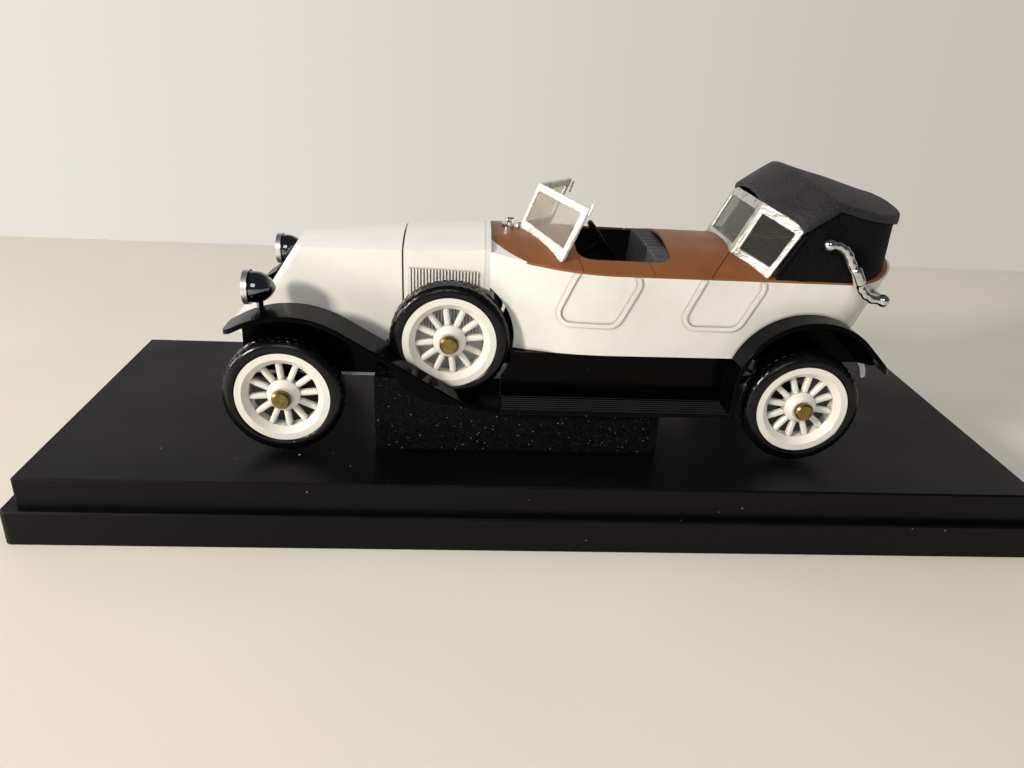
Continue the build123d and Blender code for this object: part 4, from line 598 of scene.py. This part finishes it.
def pleated_seat(source, name, half, pleats):
    """Bench, as wide as twice half, whose pleats swell into rolls between their grooves."""
    pitch = 2 * half / pleats

    def height(point, normal):
        roll = abs(sin((point.y + half) / pitch * pi))
        swell = (PLEAT_ROLL * roll - PLEAT_GROOVE) * (1 - abs(normal.y))
        return swell + unevenness(point, period=3.0, depth=0.05)

    bench = even_surface(source, voxel=0.22, rounds=2)
    pushed(bench, height)
    piece = finished(bench, name, SEAT_BLACK, FIXED_BODY, source)


crushed_foam_pad()
hood_roof()
hood_curtain()
pleated_seat("front_seat", "pleated_front_seat", half=12.4, pleats=11)
pleated_seat("rear_seat", "pleated_rear_seat", half=10.2, pleats=9)


# Trim

RIM_GAIN, IRON_GAIN = 0.22, 0.32
ROUNDED_HIGHLIT_EDGE = 0.06 * MM
# The windscreen's two clips, foot and tip, in the car's own frame, in mm
CLIPS = (((-5.3, 14.4, 32.5), (-5.9, 14.4, 34.2)), ((-5.3, -14.4, 31.0), (-5.9, -14.4, 32.9)))
CLIP_RADIUS = 0.2


def ribbed_boards():
    """The running boards, their sharp edges rounded and painted grey, a painted highlight and
    partly rubbed wear, so that the ribs show.
    """
    mesh = bmesh.new()
    mesh.from_mesh(NODES["running_boards"].data)
    rubbed = mesh.faces.layers.float.new("rubbed")
    bmesh.ops.remove_doubles(mesh, verts=mesh.verts, dist=MERGE)
    bmesh.ops.dissolve_limit(mesh, angle_limit=radians(1), verts=mesh.verts, edges=mesh.edges)
    eased = bmesh.ops.bevel(mesh, geom=sharp_edges(mesh), offset=ROUNDED_HIGHLIT_EDGE, segments=2,
                            profile=0.5, affect="EDGES", material=-1, clamp_overlap=True)["faces"]
    # Marks the rounded edges for the painted grey highlight.
    for face in eased:
        face[rubbed] = 1.0
    finished(mesh, "ribbed_running_boards", BOARD_BLACK, FIXED_BODY,
             "running_boards")


def foiled_frame(source, name, finish, clips):
    """A screen's frame wrapped in metal foil: wrinkled, and uneven at its edges."""
    foil = even_surface(source, voxel=0.15, rounds=1)
    for foot, tip in clips:
        piping(foil, foot, tip, CLIP_RADIUS)
    pushed(foil, lambda point, normal: unevenness(point, period=1.6, depth=0.06)
           + unevenness(point, period=0.55, depth=0.03))
    finished(foil, name, finish, FIXED_BODY, source)


# The rim of the wheel and the irons stand thicker than their solids, as in the photo
wheel = even_surface("steering_wheel", voxel=0.13, rounds=2)
pushed(wheel, lambda point, normal: RIM_GAIN)
finished(wheel, "thick_rimmed_steering_wheel", GUARD_BLACK, FIXED_BODY,
         "steering_wheel")
irons = even_surface("landau_irons", voxel=0.13, rounds=16)
pushed(irons, lambda point, normal: IRON_GAIN)
finished(irons, "plated_landau_irons", CHROME, FIXED_BODY, "landau_irons")
ribbed_boards()
foiled_frame("windscreen_frame", "foiled_windscreen_frame", SILVER, CLIPS)
foiled_frame("rear_screen_frame", "foiled_rear_screen_frame", CREASED_FOIL, ())


# Table, wall, lights and camera

# How far the table reaches from the object, in metres
FLOOR_BACK, FLOOR_FRONT, FLOOR_SIDE = 0.165, 1.2, 1.6
# The photo's camera, solved from the plinth and the wheels: place in the car's own frame, radians
CAMERA_PLACE = Vector((14.358, 145.672, 60.635)) * MM
CAMERA_YAW, CAMERA_PITCH, CAMERA_ROLL = -0.063183, 0.421709, -0.050686
FOCAL_PIXELS, PHOTO_WIDTH = 800.07, 1024
SENSOR_WIDTH = 36.0
NEAREST_SEEN = 0.005


def pale_table():
    """Lacquered pale table, faintly clouded, whose far edge meets the wall behind."""
    mesh = bmesh.new()
    bmesh.ops.create_grid(mesh, x_segments=1, y_segments=1, size=1.0)
    half_depth = (FLOOR_FRONT + FLOOR_BACK) / 2
    bmesh.ops.scale(mesh, verts=mesh.verts, vec=(FLOOR_SIDE, half_depth, 1.0))
    bmesh.ops.translate(mesh, verts=mesh.verts, vec=(0.0, (FLOOR_FRONT - FLOOR_BACK) / 2, 0.0))
    data = bpy.data.meshes.new("table")
    mesh.to_mesh(data)
    mesh.free()
    table = bpy.data.objects.new("table", data)
    bpy.context.collection.objects.link(table)
    material, tree, shader, coords = new_material("pale_lacquered_table")
    cloud = node(tree, "ShaderNodeTexNoise",
                 {"Scale": per_mm(90), "Detail": 3.0, "Vector": coords})[0]
    set_up(tree, shader, {"Base Color": mottled(tree, cloud, 0.3, 0.7, "#ebe7dd", "#e5e0d5"),
                          "Roughness": 0.42, "IOR": 1.45})
    data.materials.append(material)


def area_light(name, place, target, size, power, tint, in_gloss):
    """Soft square light aimed at a point, shown in glossy surfaces or not."""
    lamp = bpy.data.lights.new(name, "AREA")
    lamp.size = size
    lamp.energy = power
    lamp.color = colour(tint)[:3]
    holder = bpy.data.objects.new(name, lamp)
    holder.location = place
    aim = Vector(target) - Vector(place)
    holder.rotation_euler = aim.to_track_quat("-Z", "Y").to_euler()
    holder.visible_glossy = in_gloss
    bpy.context.collection.objects.link(holder)


def pale_wall_in_dim_room():
    """World: a pale wall, brighter to the left of the picture. The camera and glass find it all
    round; gloss and shade find it only low behind the car, and a dim room elsewhere."""
    world = bpy.data.worlds.new("pale_wall")
    world.use_nodes = True
    tree = world.node_tree
    direction = node(tree, "ShaderNodeTexCoord", {})["Generated"]
    axes = node(tree, "ShaderNodeSeparateXYZ", {"Vector": direction})
    wall = mottled(tree, axes["X"], -0.5, 0.45, "#c6c0b7", "#e9e5dc")
    behind = node(tree, "ShaderNodeMapRange",
                  {"Value": axes["Y"], "From Min": 0.05, "From Max": -0.35})["Result"]
    low = node(tree, "ShaderNodeMapRange",
               {"Value": axes["Z"], "From Min": 0.72, "From Max": 0.45})["Result"]
    reflected = node(tree, "ShaderNodeMath", {"operation": "MULTIPLY", 0: behind, 1: low})[0]
    ray = node(tree, "ShaderNodeLightPath", {})
    seen = node(tree, "ShaderNodeMath", {"operation": "MAXIMUM", 0: ray["Is Camera Ray"],
                                         1: ray["Is Transmission Ray"]})[0]
    shown = node(tree, "ShaderNodeMath", {"operation": "MAXIMUM", 0: reflected, 1: seen})[0]
    room = node(tree, "ShaderNodeMix", {"data_type": "RGBA", 0: shown, 6: "#4c4c50", 7: wall})[2]
    set_up(tree, tree.nodes["Background"], {0: room})
    bpy.context.scene.world = world


def photo_camera():
    """Camera that frames the object as the photo does."""
    forward = Vector((sin(CAMERA_YAW) * cos(CAMERA_PITCH), -cos(CAMERA_YAW) * cos(CAMERA_PITCH),
                      -sin(CAMERA_PITCH)))
    level = Vector((-cos(CAMERA_YAW), -sin(CAMERA_YAW), 0.0))
    below = forward.cross(level)
    right = cos(CAMERA_ROLL) * level + sin(CAMERA_ROLL) * below
    down = -sin(CAMERA_ROLL) * level + cos(CAMERA_ROLL) * below
    data = bpy.data.cameras.new("photo_camera")
    data.sensor_width = SENSOR_WIDTH
    data.lens = SENSOR_WIDTH * FOCAL_PIXELS / PHOTO_WIDTH
    data.clip_start = NEAREST_SEEN
    camera = bpy.data.objects.new("photo_camera", data)
    turn = Matrix((right, -down, -forward)).transposed().to_4x4()
    camera.matrix_world = Matrix.Translation(CAMERA_PLACE + CAR) @ turn
    bpy.context.collection.objects.link(camera)
    bpy.context.scene.camera = camera


pale_table()
area_light("key_light", place=(0.53, 0.39, 0.29), target=(0.0, 0.0, 0.03), size=0.10, power=4.3,
           tint="#fff3e2", in_gloss=True)
area_light("side_light", place=(0.90, 0.14, 0.22), target=(0.0, 0.0, 0.03), size=0.22, power=2.6,
           tint="#fff6ea", in_gloss=True)
area_light("ceiling_light", place=(-0.1, 0.1, 1.0), target=(0.0, 0.0, 0.0), size=1.0, power=3.7,
           tint="#fbfaf6", in_gloss=False)
area_light("front_light", place=(0.15, 0.9, 0.5), target=(0.0, 0.0, 0.02), size=0.4, power=1.7,
           tint="#fbfaf6", in_gloss=True)
pale_wall_in_dim_room()
photo_camera()
bpy.context.scene.view_settings.view_transform = "Standard"
